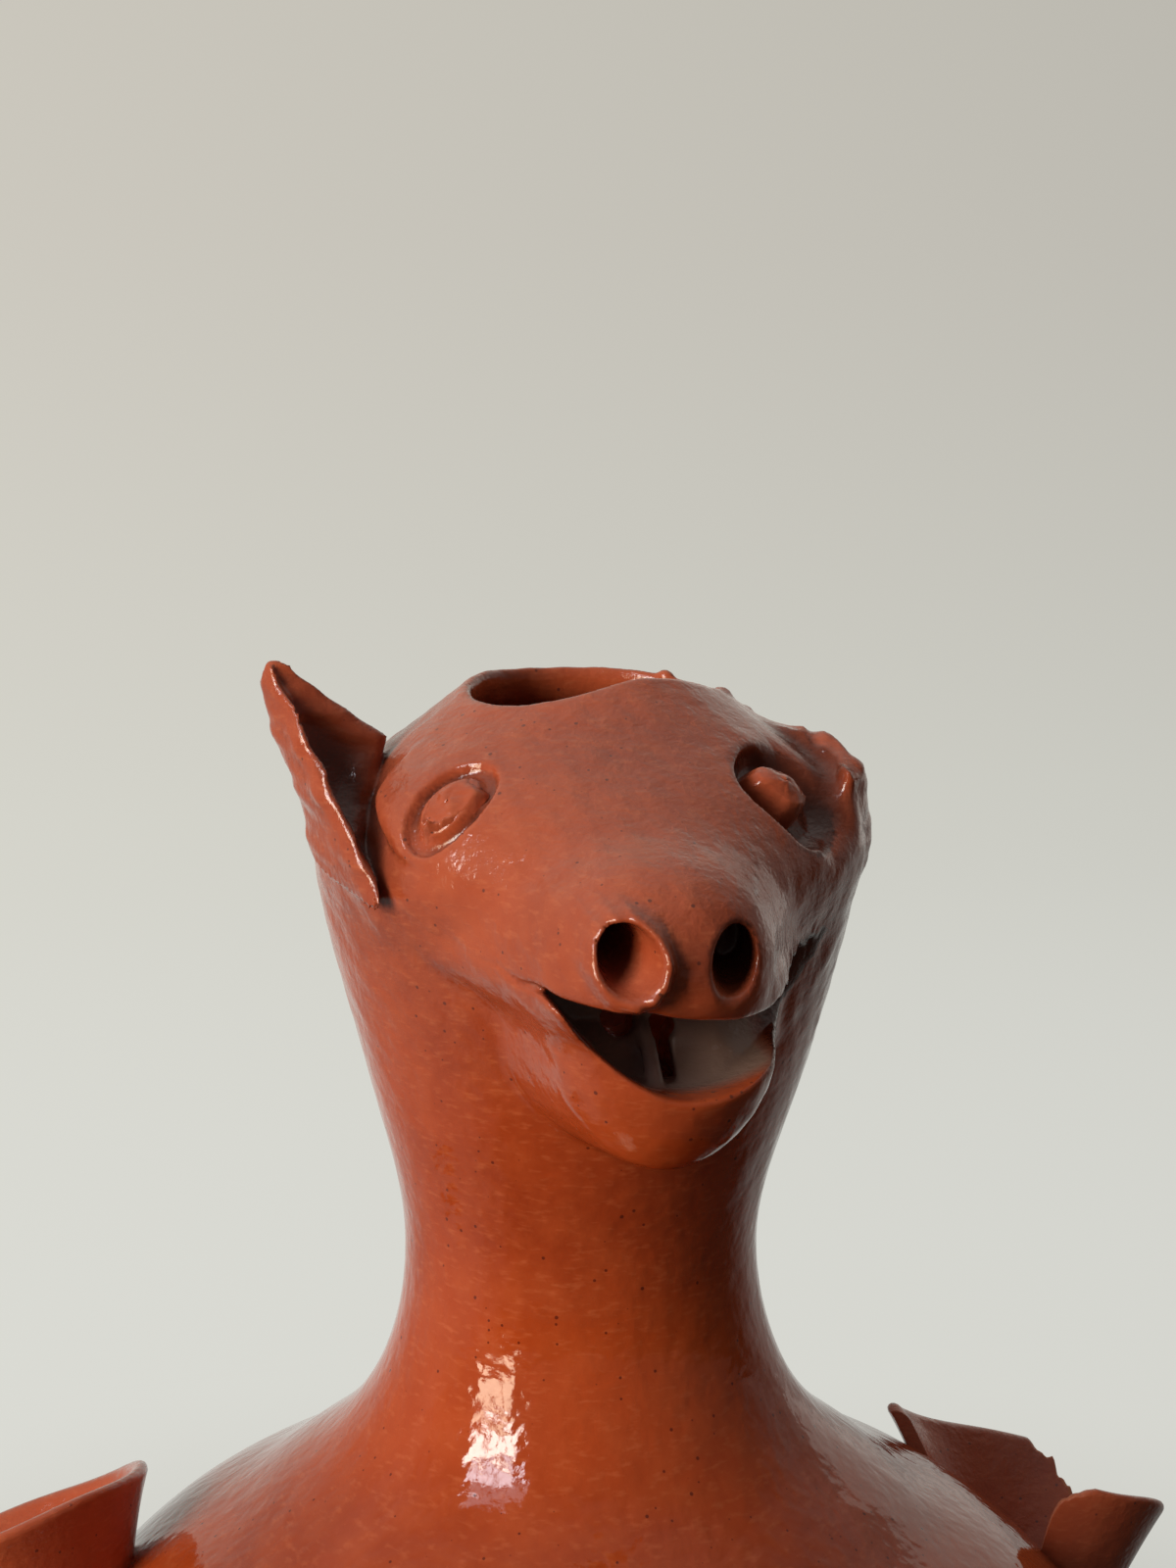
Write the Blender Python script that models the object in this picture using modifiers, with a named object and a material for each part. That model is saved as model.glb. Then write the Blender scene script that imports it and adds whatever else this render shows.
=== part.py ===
"""Pitcher of glazed red earthenware with a beast's head for a neck.

The clay pieces are thrown, rolled or pinched by themselves and luted together: a round-bellied
body, a neck that swells into the head, the muzzle and the scooped lower jaw that make the spout,
two ears, two eye pellets, two horn-shaped cups on the shoulders and a strap handle behind.
The beast looks along -Y, +X is its left side and the pitcher stands on z = 0.
"""

import math

import bmesh
import bpy
from mathutils import Matrix, Vector

# Luted joints: the gap that keeps neighbouring pieces apart
SEAM = 0.0003

# Body
BASE_RADIUS = 0.060
BELLY_RADIUS = 0.107
BELLY_HEIGHT = 0.090
SHOULDER_RISE = 0.0765
BODY_WALL = 0.006
FLOOR_THICKNESS = 0.008

# Neck and head, two thrown tubes: the head swells above the neck and closes in to the filling hole
NECK_FOOT_RADIUS = 0.047
NECK_FOOT_WIDTH = 0.014
NECK_FLARE = 2.6
WAIST_RADIUS = 0.0307
WAIST_RISE = 0.0450
THROAT_RISE = 0.018
HEAD_RADIUS = 0.0468
HEAD_RISE = 0.067
RIM_RADIUS = 0.0205
DOME_RISE = 0.027
DOME_POWER = 1.45
HEAD_WALL = 0.005

# Muzzle: the upper half of the spout
MUZZLE_REACH = 0.072
MUZZLE_ROOT_WIDTH = 0.070
MUZZLE_FLARE = 1.6
MUZZLE_POWERS = (4.5, 2.2)
MUZZLE_ROOT_RISE = 0.0385
NOSE_WIDTH = 0.029
NOSE_RISE = 0.021
NOSE_ROUNDING = 0.008
MUZZLE_WALL = 0.0055
LIP_DROP = 0.0185
NOSTRIL_RADIUS = 0.0046
NOSTRIL_SPACING = 0.0155
NOSTRIL_RISE = 0.0105
NOSTRIL_SPLAY = math.radians(18)

# Lower jaw: the scoop below it
JAW_REACH = 0.064
JAW_ROOT_WIDTH = 0.054
JAW_TIP_WIDTH = 0.031
JAW_FLARE = 1.4
JAW_POWERS = (2.3, 6.0)
JAW_ROOT_DROP = 0.0285
CHIN_DROP = 0.0225
JAW_ROUNDING = 0.011
JAW_WALL = 0.0045
MOUTH_CORNER_REACH = 0.049
GAPE = math.radians(40)
POUR_HOLE_RADIUS = 0.0035
POUR_HOLE_SPACING = 0.013
POUR_HOLE_DROP = 0.004

# Eyes: pellets of clay pressed into oval sockets
EYE_AZIMUTH = math.radians(46)
EYE_RISE = 0.0095
SOCKET_WIDTH = 0.0145
SOCKET_HEIGHT = 0.0180
SOCKET_DEPTH = 0.0026
PELLET_WIDTH = 0.0098
PELLET_HEIGHT = 0.0124
PELLET_THICKNESS = 0.0034
PELLET_ROUNDING = 0.0008

# Ears: cupped leaves of rolled clay
EAR_THICKNESS = 0.0032
EAR_LENGTH = 0.0330
EAR_SPREAD = 0.0085
EAR_FRONT_AZIMUTH = math.radians(59)
EAR_BACK_AZIMUTH = math.radians(102)
EAR_FRONT_RISE = -0.004
EAR_BACK_RISE = 0.0155
EAR_BULGE = 0.0060
EAR_SINK = 0.006
EAR_BREAK = 0.30

# Shoulder cups: horns of rolled clay that lean out and back
CUP_RIM_RADIUS = 0.027
CUP_TAPER = math.radians(19)
CUP_DEPTH = 0.042
CUP_WALL = 0.0034
CUP_OUTWARD_LEAN = math.radians(17)
CUP_BACKWARD_LEAN = math.radians(14)
CUP_OUTSET = -0.008
CUP_SETBACK = 0.022
CUP_RISE = 0.0535
INNER_BREAK = (math.radians(-38), math.radians(58))
INNER_BREAK_DROP = 0.022
OUTER_BREAK = (math.radians(-165), math.radians(-115))
OUTER_BREAK_DROP = 0.009

# Handle: a strap from the back of the head to the shoulder
HANDLE_WIDTH = 0.024
HANDLE_THICKNESS = 0.0115
HANDLE_INSET = 0.021
HANDLE_TOP_DROP = 0.006
HANDLE_FOOT_INSET = 0.029
HANDLE_SINK = 0.010

# Facets
TURN_STEPS = 44
SMALL_TURN_STEPS = 24
LOFT_SIDES = 28

GLAZED_CLAY = (0.42, 0.085, 0.030)
GLAZE_ROUGHNESS = 0.16
EPSILON = 1e-6


def shoulder_height(radius):
    """Height of the shoulder's outer surface at a distance from the axis."""
    return BELLY_HEIGHT + SHOULDER_RISE * math.sqrt(1 - (radius / BELLY_RADIUS) ** 2)


NECK_BORE = NECK_FOOT_RADIUS - NECK_FOOT_WIDTH
NECK_FOOT_HEIGHT = shoulder_height(NECK_FOOT_RADIUS) + SEAM
WAIST_HEIGHT = NECK_FOOT_HEIGHT + WAIST_RISE
THROAT_HEIGHT = WAIST_HEIGHT + THROAT_RISE
HEAD_HEIGHT = WAIST_HEIGHT + HEAD_RISE
RIM_HEIGHT = HEAD_HEIGHT + DOME_RISE
LIP_HEIGHT = HEAD_HEIGHT - LIP_DROP
HANDLE_REACH = BELLY_RADIUS - HANDLE_INSET
HANDLE_FOOT_RADIUS = BELLY_RADIUS - HANDLE_FOOT_INSET


def head_radius(height):
    """Outer radius of the neck and head at a height: a flared foot, a swelling throat and a dome."""
    if height <= WAIST_HEIGHT:
        share = min((height - NECK_FOOT_HEIGHT) / WAIST_RISE, 1)
        return WAIST_RADIUS + (NECK_FOOT_RADIUS - WAIST_RADIUS) * (1 - share) ** NECK_FLARE
    if height <= HEAD_HEIGHT:
        share = (height - WAIST_HEIGHT) / HEAD_RISE
        swell = (share + (1 - math.cos(math.pi * share)) / 2) / 2
        return WAIST_RADIUS + (HEAD_RADIUS - WAIST_RADIUS) * swell
    share = max((height - HEAD_HEIGHT) / DOME_RISE, 0)
    return HEAD_RADIUS - (HEAD_RADIUS - RIM_RADIUS) * share ** DOME_POWER


def spread(low, high, count):
    """Evenly spaced values from low to high."""
    return [low + (high - low) * i / (count - 1) for i in range(count)]


def blend(start, end, share):
    return start + (end - start) * share


def inset(points, distance):
    """The polyline of (r, z) points, which runs downwards, moved towards the axis by distance."""
    moved = []
    for i, (radius, height) in enumerate(points):
        before = points[max(i - 1, 0)]
        after = points[min(i + 1, len(points) - 1)]
        along = Vector((after[0] - before[0], after[1] - before[1])).normalized()
        moved.append((radius + along.y * distance, height - along.x * distance))
    return moved


def body_outside(gap=0.0):
    """The body's outer profile from the neck's bore down to the edge of the base."""
    start = math.acos((NECK_BORE - gap) / BELLY_RADIUS)
    profile = [
        ((BELLY_RADIUS + gap) * math.cos(turn), BELLY_HEIGHT + (SHOULDER_RISE + gap) * math.sin(turn))
        for turn in spread(start, 0, 10)
    ]
    for height in spread(BELLY_HEIGHT, 0, 7)[1:]:
        bulge = math.sin(math.pi / 2 * height / BELLY_HEIGHT)
        profile.append((BASE_RADIUS + (BELLY_RADIUS - BASE_RADIUS) * bulge + gap, height))
    return profile


def head_outside():
    """The head's outer profile from the filling hole's edge down to its joint with the neck."""
    heights = spread(RIM_HEIGHT, HEAD_HEIGHT, 7) + spread(HEAD_HEIGHT, THROAT_HEIGHT, 7)[1:]
    return [(head_radius(height), height) for height in heights]


def neck_outside():
    """The neck's outer profile from its joint with the head down to its flared foot."""
    heights = spread(THROAT_HEIGHT - SEAM, WAIST_HEIGHT, 4) + spread(WAIST_HEIGHT, NECK_FOOT_HEIGHT, 6)[1:]
    return [(head_radius(height), height) for height in heights]


def clear_scene():
    for obj in list(bpy.data.objects):
        bpy.data.objects.remove(obj)


def glazed_clay(name):
    material = bpy.data.materials.new(name + "_glazed_clay")
    material.use_nodes = True
    shader = material.node_tree.nodes["Principled BSDF"]
    shader.inputs["Base Color"].default_value = (*GLAZED_CLAY, 1)
    shader.inputs["Roughness"].default_value = GLAZE_ROUGHNESS
    shader.inputs["Metallic"].default_value = 0
    return material


def add_object(name, mesh, role):
    """Puts a mesh into the scene, as a clay piece or as a hidden cutter."""
    obj = bpy.data.objects.new(name, mesh)
    role["collection"].objects.link(obj)
    if role["glazed"]:
        mesh.materials.append(glazed_clay(name))
    else:
        obj.hide_render = True
        obj.display_type = "WIRE"
    return obj


def mesh_from(name, points, edges=(), faces=()):
    mesh = bpy.data.meshes.new(name)
    mesh.from_pydata(points, edges, faces)
    mesh.update()
    return mesh


def turned(name, profile, role, steps=TURN_STEPS, closed=False):
    """A profile of (r, z) points that runs down its outer side, turned round the z axis."""
    points = [(radius, 0, height) for radius, height in profile]
    edges = [(i, i + 1) for i in range(len(points) - 1)]
    if closed:
        edges.append((len(points) - 1, 0))
    obj = add_object(name, mesh_from(name, points, edges), role)
    screw = obj.modifiers.new("turn", "SCREW")
    screw.steps = screw.render_steps = steps
    screw.use_merge_vertices = True
    screw.merge_threshold = 1e-5
    screw.use_smooth_shade = True
    return obj


def loft(name, rings, role):
    """A closed solid through rings of equally many points, with flat ends."""
    sides = len(rings[0])
    points = [point for ring in rings for point in ring]
    faces = []
    for row in range(len(rings) - 1):
        for i in range(sides):
            a, b = row * sides + i, row * sides + (i + 1) % sides
            faces.append((a, b, b + sides, a + sides))
    faces.append(tuple(reversed(range(sides))))
    faces.append(tuple(range((len(rings) - 1) * sides, len(rings) * sides)))
    mesh = mesh_from(name, points, faces=faces)
    shape = bmesh.new()
    shape.from_mesh(mesh)
    bmesh.ops.recalc_face_normals(shape, faces=shape.faces)
    shape.to_mesh(mesh)
    shape.free()
    return add_object(name, mesh, role)


def sheet(name, rows, thickness, role):
    """An open sheet through rows of points, thickened evenly on both sides."""
    width = len(rows[0])
    points = [point for row in rows for point in row]
    faces = []
    for row in range(len(rows) - 1):
        for i in range(width - 1):
            a = row * width + i
            faces.append((a, a + 1, a + 1 + width, a + width))
    obj = add_object(name, mesh_from(name, points, faces=faces), role)
    solidify = obj.modifiers.new("thickness", "SOLIDIFY")
    solidify.thickness = thickness
    solidify.offset = 0
    return obj


def box(name, low, high, role, matrix=Matrix()):
    """A box between two corners, moved by a matrix."""
    shape = bmesh.new()
    size = [high[i] - low[i] for i in range(3)]
    centre = [(high[i] + low[i]) / 2 for i in range(3)]
    placed = Matrix.Translation(centre) @ Matrix.Diagonal((*size, 1))
    bmesh.ops.create_cube(shape, size=1, matrix=placed)
    mesh = bpy.data.meshes.new(name)
    shape.to_mesh(mesh)
    shape.free()
    obj = add_object(name, mesh, role)
    obj.matrix_world = matrix
    return obj


def rod(name, start, end, radii, role, sides=SMALL_TURN_STEPS):
    """A straight elliptical rod between two points; radii are its (level, upright) half widths."""
    along = end - start
    shape = bmesh.new()
    bmesh.ops.create_cone(
        shape, cap_ends=True, segments=sides, radius1=1, radius2=1, depth=along.length
    )
    mesh = bpy.data.meshes.new(name)
    shape.to_mesh(mesh)
    shape.free()
    mesh.transform(Matrix.Diagonal((radii[0], radii[1], 1, 1)))
    obj = add_object(name, mesh, role)
    obj.matrix_world = Matrix.Translation((start + end) / 2) @ upright_frame(along)
    return obj


def upright_frame(along):
    """A turn that takes z to the given direction and keeps y as near upright as it can be."""
    third = along.normalized()
    first = Vector((0, 0, 1)).cross(third).normalized()
    second = third.cross(first)
    return Matrix((first, second, third)).transposed().to_4x4()


def cut(obj, cutter):
    """Takes the cutter's volume out of the object."""
    boolean = obj.modifiers.new("cut_" + cutter.name, "BOOLEAN")
    boolean.operation = "DIFFERENCE"
    boolean.solver = "EXACT"
    boolean.object = cutter


def smooth(obj, angle=math.radians(40)):
    obj.data.shade_smooth()
    obj.data.set_sharp_from_angle(angle=angle)


def forward(reach, side=0.0, height=0.0):
    """A point by its reach in front of the axis, its offset to the beast's left and its height."""
    return Vector((side, -reach, height))


def make_body(clay):
    """The thrown body: an ellipse of a shoulder over a tapering belly, hollow, on a flat base."""
    outside = body_outside()
    inside = [
        ((BELLY_RADIUS - BODY_WALL) * math.cos(turn),
         BELLY_HEIGHT + (SHOULDER_RISE - BODY_WALL) * math.sin(turn))
        for turn in spread(math.acos(NECK_BORE / (BELLY_RADIUS - BODY_WALL)), 0, 8)
    ]
    for height in spread(BELLY_HEIGHT, FLOOR_THICKNESS, 6)[1:]:
        bulge = math.sin(math.pi / 2 * height / BELLY_HEIGHT)
        inside.append((BASE_RADIUS + (BELLY_RADIUS - BASE_RADIUS) * bulge - BODY_WALL, height))
    profile = [(0, FLOOR_THICKNESS), *reversed(inside), *outside, (0, 0)]
    return turned("body", profile, clay)


def make_neck(clay):
    """The thrown neck, whose foot spreads over the shoulder round the body's mouth."""
    outside = neck_outside()
    inside = inset(outside, HEAD_WALL)
    inside[0] = (outside[0][0] - HEAD_WALL, outside[0][1])
    inside[-1] = (NECK_BORE, shoulder_height(NECK_BORE) + SEAM)
    return turned("neck", [*reversed(inside), *outside], clay, closed=True)


def make_head(clay, cutter):
    """The thrown head, pierced behind the mouth and pressed in for the eyes.

    The socket cutters come back, for the muzzle's root gives way to the eyes too.
    """
    outside = head_outside()
    inside = inset(outside, HEAD_WALL)
    inside[-1] = (outside[-1][0] - HEAD_WALL, outside[-1][1])
    head = turned("head", [*reversed(inside), *outside], clay, closed=True)
    sockets = []
    for side, name in ((-1, "right"), (1, "left")):
        offset = side * POUR_HOLE_SPACING / 2
        level = LIP_HEIGHT - POUR_HOLE_DROP
        hole = rod(
            f"{name}_pour_hole", forward(HEAD_RADIUS / 2, offset, level),
            forward(HEAD_RADIUS * 1.2, offset, level), (POUR_HOLE_RADIUS, POUR_HOLE_RADIUS), cutter,
        )
        cut(head, hole)
        point, normal = eye_seat(side)
        socket = rod(
            f"{name}_socket", point - normal * SOCKET_DEPTH, point + normal * HEAD_WALL * 2,
            (SOCKET_WIDTH / 2, SOCKET_HEIGHT / 2), cutter,
        )
        cut(head, socket)
        sockets.append(socket)
    return sockets


def eye_seat(side):
    """The point on the head's surface under an eye, and the surface's direction there."""
    height = HEAD_HEIGHT + EYE_RISE
    step = HEAD_WALL / 10
    slope = (head_radius(height + step) - head_radius(height - step)) / (2 * step)
    outward = forward(math.cos(EYE_AZIMUTH), side * math.sin(EYE_AZIMUTH))
    normal = (outward - Vector((0, 0, slope))).normalized()
    return outward * head_radius(height) + Vector((0, 0, height)), normal


def make_eye(name, side, clay):
    """An oval pellet that sits on the floor of its socket."""
    point, normal = eye_seat(side)
    floor = point - normal * (SOCKET_DEPTH - SEAM)
    eye = rod(
        name, floor, floor + normal * PELLET_THICKNESS, (PELLET_WIDTH / 2, PELLET_HEIGHT / 2), clay, 20
    )
    bevel = eye.modifiers.new("rounding", "BEVEL")
    bevel.width = PELLET_ROUNDING
    bevel.segments = 2
    smooth(eye)
    return eye


def spout_ring(reach, half_width, low, high, middle, powers):
    """Two superellipses across the spout, one below and one above its widest place, the middle."""
    ring = []
    for i in range(LOFT_SIDES):
        turn = 2 * math.pi * i / LOFT_SIDES
        above = math.sin(turn) > 0
        power = powers[above]
        across = math.copysign(abs(math.cos(turn)) ** (2 / power), math.cos(turn))
        up = abs(math.sin(turn)) ** (2 / power)
        ring.append(forward(reach, half_width * across, blend(middle, high if above else low, up)))
    return ring


def rounded_stations(start, end, rounding, straight, curved):
    """Pairs of (reach, swell) along a spout whose swell falls off as a quarter ellipse at its tip."""
    stations = [(reach, 1.0) for reach in spread(start, end - rounding, straight)]
    for turn in spread(0, math.radians(82), curved)[1:]:
        stations.append((end - rounding + rounding * math.sin(turn), math.cos(turn)))
    return stations


def muzzle_rings(thinner=0.0, below=0.0):
    """Rings of the muzzle, wide and high at its root and narrow at the nose."""
    rings = []
    root = HEAD_RADIUS / 2
    for reach, swell in rounded_stations(root, MUZZLE_REACH - thinner, NOSE_ROUNDING, 6, 6):
        share = (reach - root) / (MUZZLE_REACH - root)
        half_width = blend(NOSE_WIDTH, MUZZLE_ROOT_WIDTH, (1 - share) ** MUZZLE_FLARE) / 2 - thinner
        rise = blend(MUZZLE_ROOT_RISE, NOSE_RISE, share) - thinner
        middle = LIP_HEIGHT + 0.36 * rise
        low = blend(middle, LIP_HEIGHT - below, swell)
        high = blend(middle, LIP_HEIGHT + rise, swell)
        rings.append(spout_ring(reach, half_width * swell, low, high, middle, MUZZLE_POWERS))
    return rings


def make_muzzle(clay, cutter, seats):
    """The upper spout: a hollow snout, open below and at the back, pierced by two nostrils."""
    muzzle = loft("muzzle", muzzle_rings(), clay)
    for seat in seats:
        cut(muzzle, seat)
    hollow = loft("muzzle_hollow", muzzle_rings(thinner=MUZZLE_WALL, below=NOSE_RISE), cutter)
    cut(muzzle, hollow)
    for side, name in ((-1, "right"), (1, "left")):
        centre = forward(
            MUZZLE_REACH - NOSE_ROUNDING, side * NOSTRIL_SPACING / 2, LIP_HEIGHT + NOSTRIL_RISE
        )
        along = forward(math.cos(NOSTRIL_SPLAY), side * math.sin(NOSTRIL_SPLAY))
        nostril = rod(
            f"{name}_nostril", centre - along * MUZZLE_WALL * 2, centre + along * MUZZLE_REACH / 2,
            (NOSTRIL_RADIUS, NOSTRIL_RADIUS), cutter,
        )
        cut(muzzle, nostril)
    smooth(muzzle)
    return muzzle


def jaw_rings(thinner=0.0):
    """Rings of the lower jaw, whose upper half is trimmed off later."""
    rings = []
    root = HEAD_RADIUS / 2
    for reach, swell in rounded_stations(root, JAW_REACH - thinner, JAW_ROUNDING, 5, 7):
        share = (reach - root) / (JAW_REACH - root)
        half_width = blend(JAW_TIP_WIDTH, JAW_ROOT_WIDTH, (1 - share) ** JAW_FLARE) / 2 - thinner
        drop = blend(JAW_ROOT_DROP, CHIN_DROP, share) - thinner
        middle = LIP_HEIGHT - drop * 0.2
        low = blend(middle, LIP_HEIGHT - drop, swell)
        high = LIP_HEIGHT + JAW_WALL
        rings.append(spout_ring(reach, half_width * max(swell, 0.3), low, high, middle, JAW_POWERS))
    return rings


def make_lower_jaw(clay, cutter, head_seat):
    """The scooped jaw below the muzzle, trimmed along the lips and gaping towards its tip."""
    jaw = loft("lower_jaw", jaw_rings(), clay)
    cut(jaw, head_seat)
    span = JAW_ROOT_WIDTH
    lips = box(
        "lip_trim", (-span, -2 * JAW_REACH, LIP_HEIGHT - SEAM), (span, 0, LIP_HEIGHT + span), cutter
    )
    cut(jaw, lips)
    hinge = Matrix.Translation(forward(MOUTH_CORNER_REACH, 0, LIP_HEIGHT - SEAM))
    gape = hinge @ Matrix.Rotation(GAPE, 4, "X")
    mouth = box("mouth_trim", (-span, -2 * JAW_REACH, 0), (span, JAW_REACH / 4, span), cutter, gape)
    cut(jaw, mouth)
    hollow = loft("jaw_hollow", jaw_rings(thinner=JAW_WALL), cutter)
    cut(jaw, hollow)
    smooth(jaw)
    return jaw


def ear_base(side, share):
    """A point on the head along the ear's root, from its front corner round to its back corner."""
    azimuth = blend(EAR_FRONT_AZIMUTH, EAR_BACK_AZIMUTH, share)
    height = HEAD_HEIGHT + blend(EAR_FRONT_RISE, EAR_BACK_RISE, share**1.6)
    outward = forward(math.cos(azimuth), side * math.sin(azimuth))
    return outward * (head_radius(height) - EAR_SINK) + Vector((0, 0, height))


def ear_rows(side, top_of):
    """A cupped leaf: lines from the curved root towards the tip, bulging outwards between them."""
    middle = ear_base(side, 0.5)
    outward = Vector((middle.x, middle.y, 0)).normalized()
    tip = ear_base(side, 0.62) + outward * (EAR_SPREAD + EAR_SINK) + Vector((0, 0, EAR_LENGTH * 0.78))
    rows = []
    for rise in spread(0, 1, 9):
        row = []
        for share in spread(0, 1, 11):
            along = rise * top_of(share)
            point = ear_base(side, share).lerp(tip, along)
            bulge = EAR_BULGE * math.sin(math.pi * share) * math.sin(math.pi * min(along + 0.25, 1))
            row.append(point + outward * bulge)
        rows.append(row)
    return rows


def make_ear(name, side, clay, head_seat, top_of):
    ear = sheet(name, ear_rows(side, top_of), EAR_THICKNESS, clay)
    cut(ear, head_seat)
    smooth(ear)
    return ear


def whole_ear(share):
    """The unbroken ear runs up to its blunt tip."""
    return 0.96


def broken_ear(share):
    """The broken ear ends in a ragged edge of three teeth."""
    return EAR_BREAK + 0.10 * abs(math.sin(3.5 * math.pi * share)) * (1 - share) + 0.05 * share


def cup_frame(side):
    """The place of a cup's rim: its origin at the rim's centre, z along the horn."""
    outward = BELLY_RADIUS + CUP_OUTSET
    centre = Vector((side * outward, CUP_SETBACK, BELLY_HEIGHT + CUP_RISE))
    lean_out = Matrix.Rotation(side * CUP_OUTWARD_LEAN, 4, "Y")
    lean_back = Matrix.Rotation(-CUP_BACKWARD_LEAN, 4, "X")
    return Matrix.Translation(centre) @ lean_back @ lean_out


def make_cup(name, side, clay, body_seat):
    """A horn-shaped cup with a softly rounded rim, cut at its foot to sit on the shoulder."""
    bottom = CUP_RIM_RADIUS - CUP_DEPTH * math.tan(CUP_TAPER)
    outer = [(blend(CUP_RIM_RADIUS, bottom, share), -CUP_DEPTH * share) for share in (0, 1)]
    inner = [(radius - CUP_WALL, height) for radius, height in reversed(outer)]
    lip = [(CUP_RIM_RADIUS - CUP_WALL / 2, CUP_WALL / 3)]
    cup = turned(name, [*inner, *lip, *outer], clay, SMALL_TURN_STEPS + 8, closed=True)
    cup.matrix_world = cup_frame(side)
    cut(cup, body_seat)
    return cup


def break_cup(cup, name, side, turns, drop, cutter):
    """Takes a ragged bite out of a cup's rim; turns count from its inner side towards its front."""
    reach = CUP_RIM_RADIUS * 1.5
    upper, lower = [Vector((0, 0, CUP_DEPTH))], [Vector((0, 0, -drop))]
    for i, turn in enumerate(spread(*turns, 8)):
        tooth = drop * (0.2 if i % 2 else 0.0)
        edge = Vector((-side * math.cos(turn) * reach, -math.sin(turn) * reach, 0))
        upper.append(edge + Vector((0, 0, CUP_DEPTH)))
        lower.append(edge + Vector((0, 0, tooth - drop)))
    bite = loft(name, [lower, upper], cutter)
    bite.matrix_world = cup_frame(side)
    cut(cup, bite)


def make_handle(clay, seats):
    """A strap that springs from the back of the head and comes down on the shoulder."""
    top = Vector((0, HEAD_RADIUS - HANDLE_SINK, HEAD_HEIGHT - HANDLE_TOP_DROP))
    foot = Vector((0, HANDLE_FOOT_RADIUS, shoulder_height(HANDLE_FOOT_RADIUS) - HANDLE_SINK))
    crown = Vector((0, blend(HEAD_RADIUS, HANDLE_REACH, 0.55), HEAD_HEIGHT + HANDLE_SINK / 3))
    back = Vector((0, HANDLE_REACH, blend(foot.z, HEAD_HEIGHT, 0.62)))
    curve = bpy.data.curves.new("handle_line", "CURVE")
    curve.dimensions = "3D"
    curve.resolution_u = 8
    curve.use_fill_caps = True
    spline = curve.splines.new("BEZIER")
    spline.bezier_points.add(3)
    for knot, place in zip(spline.bezier_points, (top, crown, back, foot)):
        knot.co = place
        knot.handle_left_type = knot.handle_right_type = "AUTO"
    section = bpy.data.curves.new("handle_section", "CURVE")
    section.dimensions = "2D"
    outline = section.splines.new("POLY")
    outline.points.add(15)
    for i, point in enumerate(outline.points):
        turn = 2 * math.pi * i / 16
        point.co = (HANDLE_WIDTH / 2 * math.cos(turn), HANDLE_THICKNESS / 2 * math.sin(turn), 0, 1)
    outline.use_cyclic_u = True
    section_object = bpy.data.objects.new("handle_section", section)
    line_object = bpy.data.objects.new("handle_line", curve)
    for helper in (section_object, line_object):
        clay["collection"].objects.link(helper)
    curve.bevel_mode = "OBJECT"
    curve.bevel_object = section_object
    bpy.context.view_layer.update()
    mesh = bpy.data.meshes.new_from_object(
        line_object.evaluated_get(bpy.context.evaluated_depsgraph_get())
    )
    mesh.materials.clear()
    for helper in (line_object, section_object):
        bpy.data.objects.remove(helper)
    shape = bmesh.new()
    shape.from_mesh(mesh)
    bmesh.ops.remove_doubles(shape, verts=shape.verts, dist=EPSILON)
    bmesh.ops.recalc_face_normals(shape, faces=shape.faces)
    shape.to_mesh(mesh)
    shape.free()
    mesh.name = "handle"
    handle = add_object("handle", mesh, clay)
    for seat in seats:
        cut(handle, seat)
    smooth(handle)
    return handle


def solid_seat(name, outside, role):
    """A solid of the outer profile, closed at the axis, that trims what is luted to it."""
    return turned(name, [(0, outside[0][1]), *outside, (0, outside[-1][1])], role)


def main():
    clear_scene()
    parts = bpy.data.collections.new("beast_headed_pitcher")
    cutters = bpy.data.collections.new("cutters")
    for group in (parts, cutters):
        bpy.context.scene.collection.children.link(group)
    clay = {"collection": parts, "glazed": True}
    cutter = {"collection": cutters, "glazed": False}

    body_seat = solid_seat("body_seat", body_outside(SEAM), cutter)
    head_seat = solid_seat("head_seat", inset(head_outside() + neck_outside(), -SEAM), cutter)
    make_body(clay)
    make_neck(clay)
    sockets = make_head(clay, cutter)
    make_muzzle(clay, cutter, (head_seat, *sockets))
    make_lower_jaw(clay, cutter, head_seat)
    make_eye("right_eye", -1, clay)
    make_eye("left_eye", 1, clay)
    make_ear("right_ear", -1, clay, head_seat, whole_ear)
    make_ear("left_ear", 1, clay, head_seat, broken_ear)
    make_cup("right_cup", -1, clay, body_seat)
    left_cup = make_cup("left_cup", 1, clay, body_seat)
    break_cup(left_cup, "inner_break", 1, INNER_BREAK, INNER_BREAK_DROP, cutter)
    break_cup(left_cup, "outer_break", 1, OUTER_BREAK, OUTER_BREAK_DROP, cutter)
    make_handle(clay, (head_seat, body_seat))


main()
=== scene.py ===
import math

import bpy
import numpy as np
from mathutils import Matrix


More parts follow.
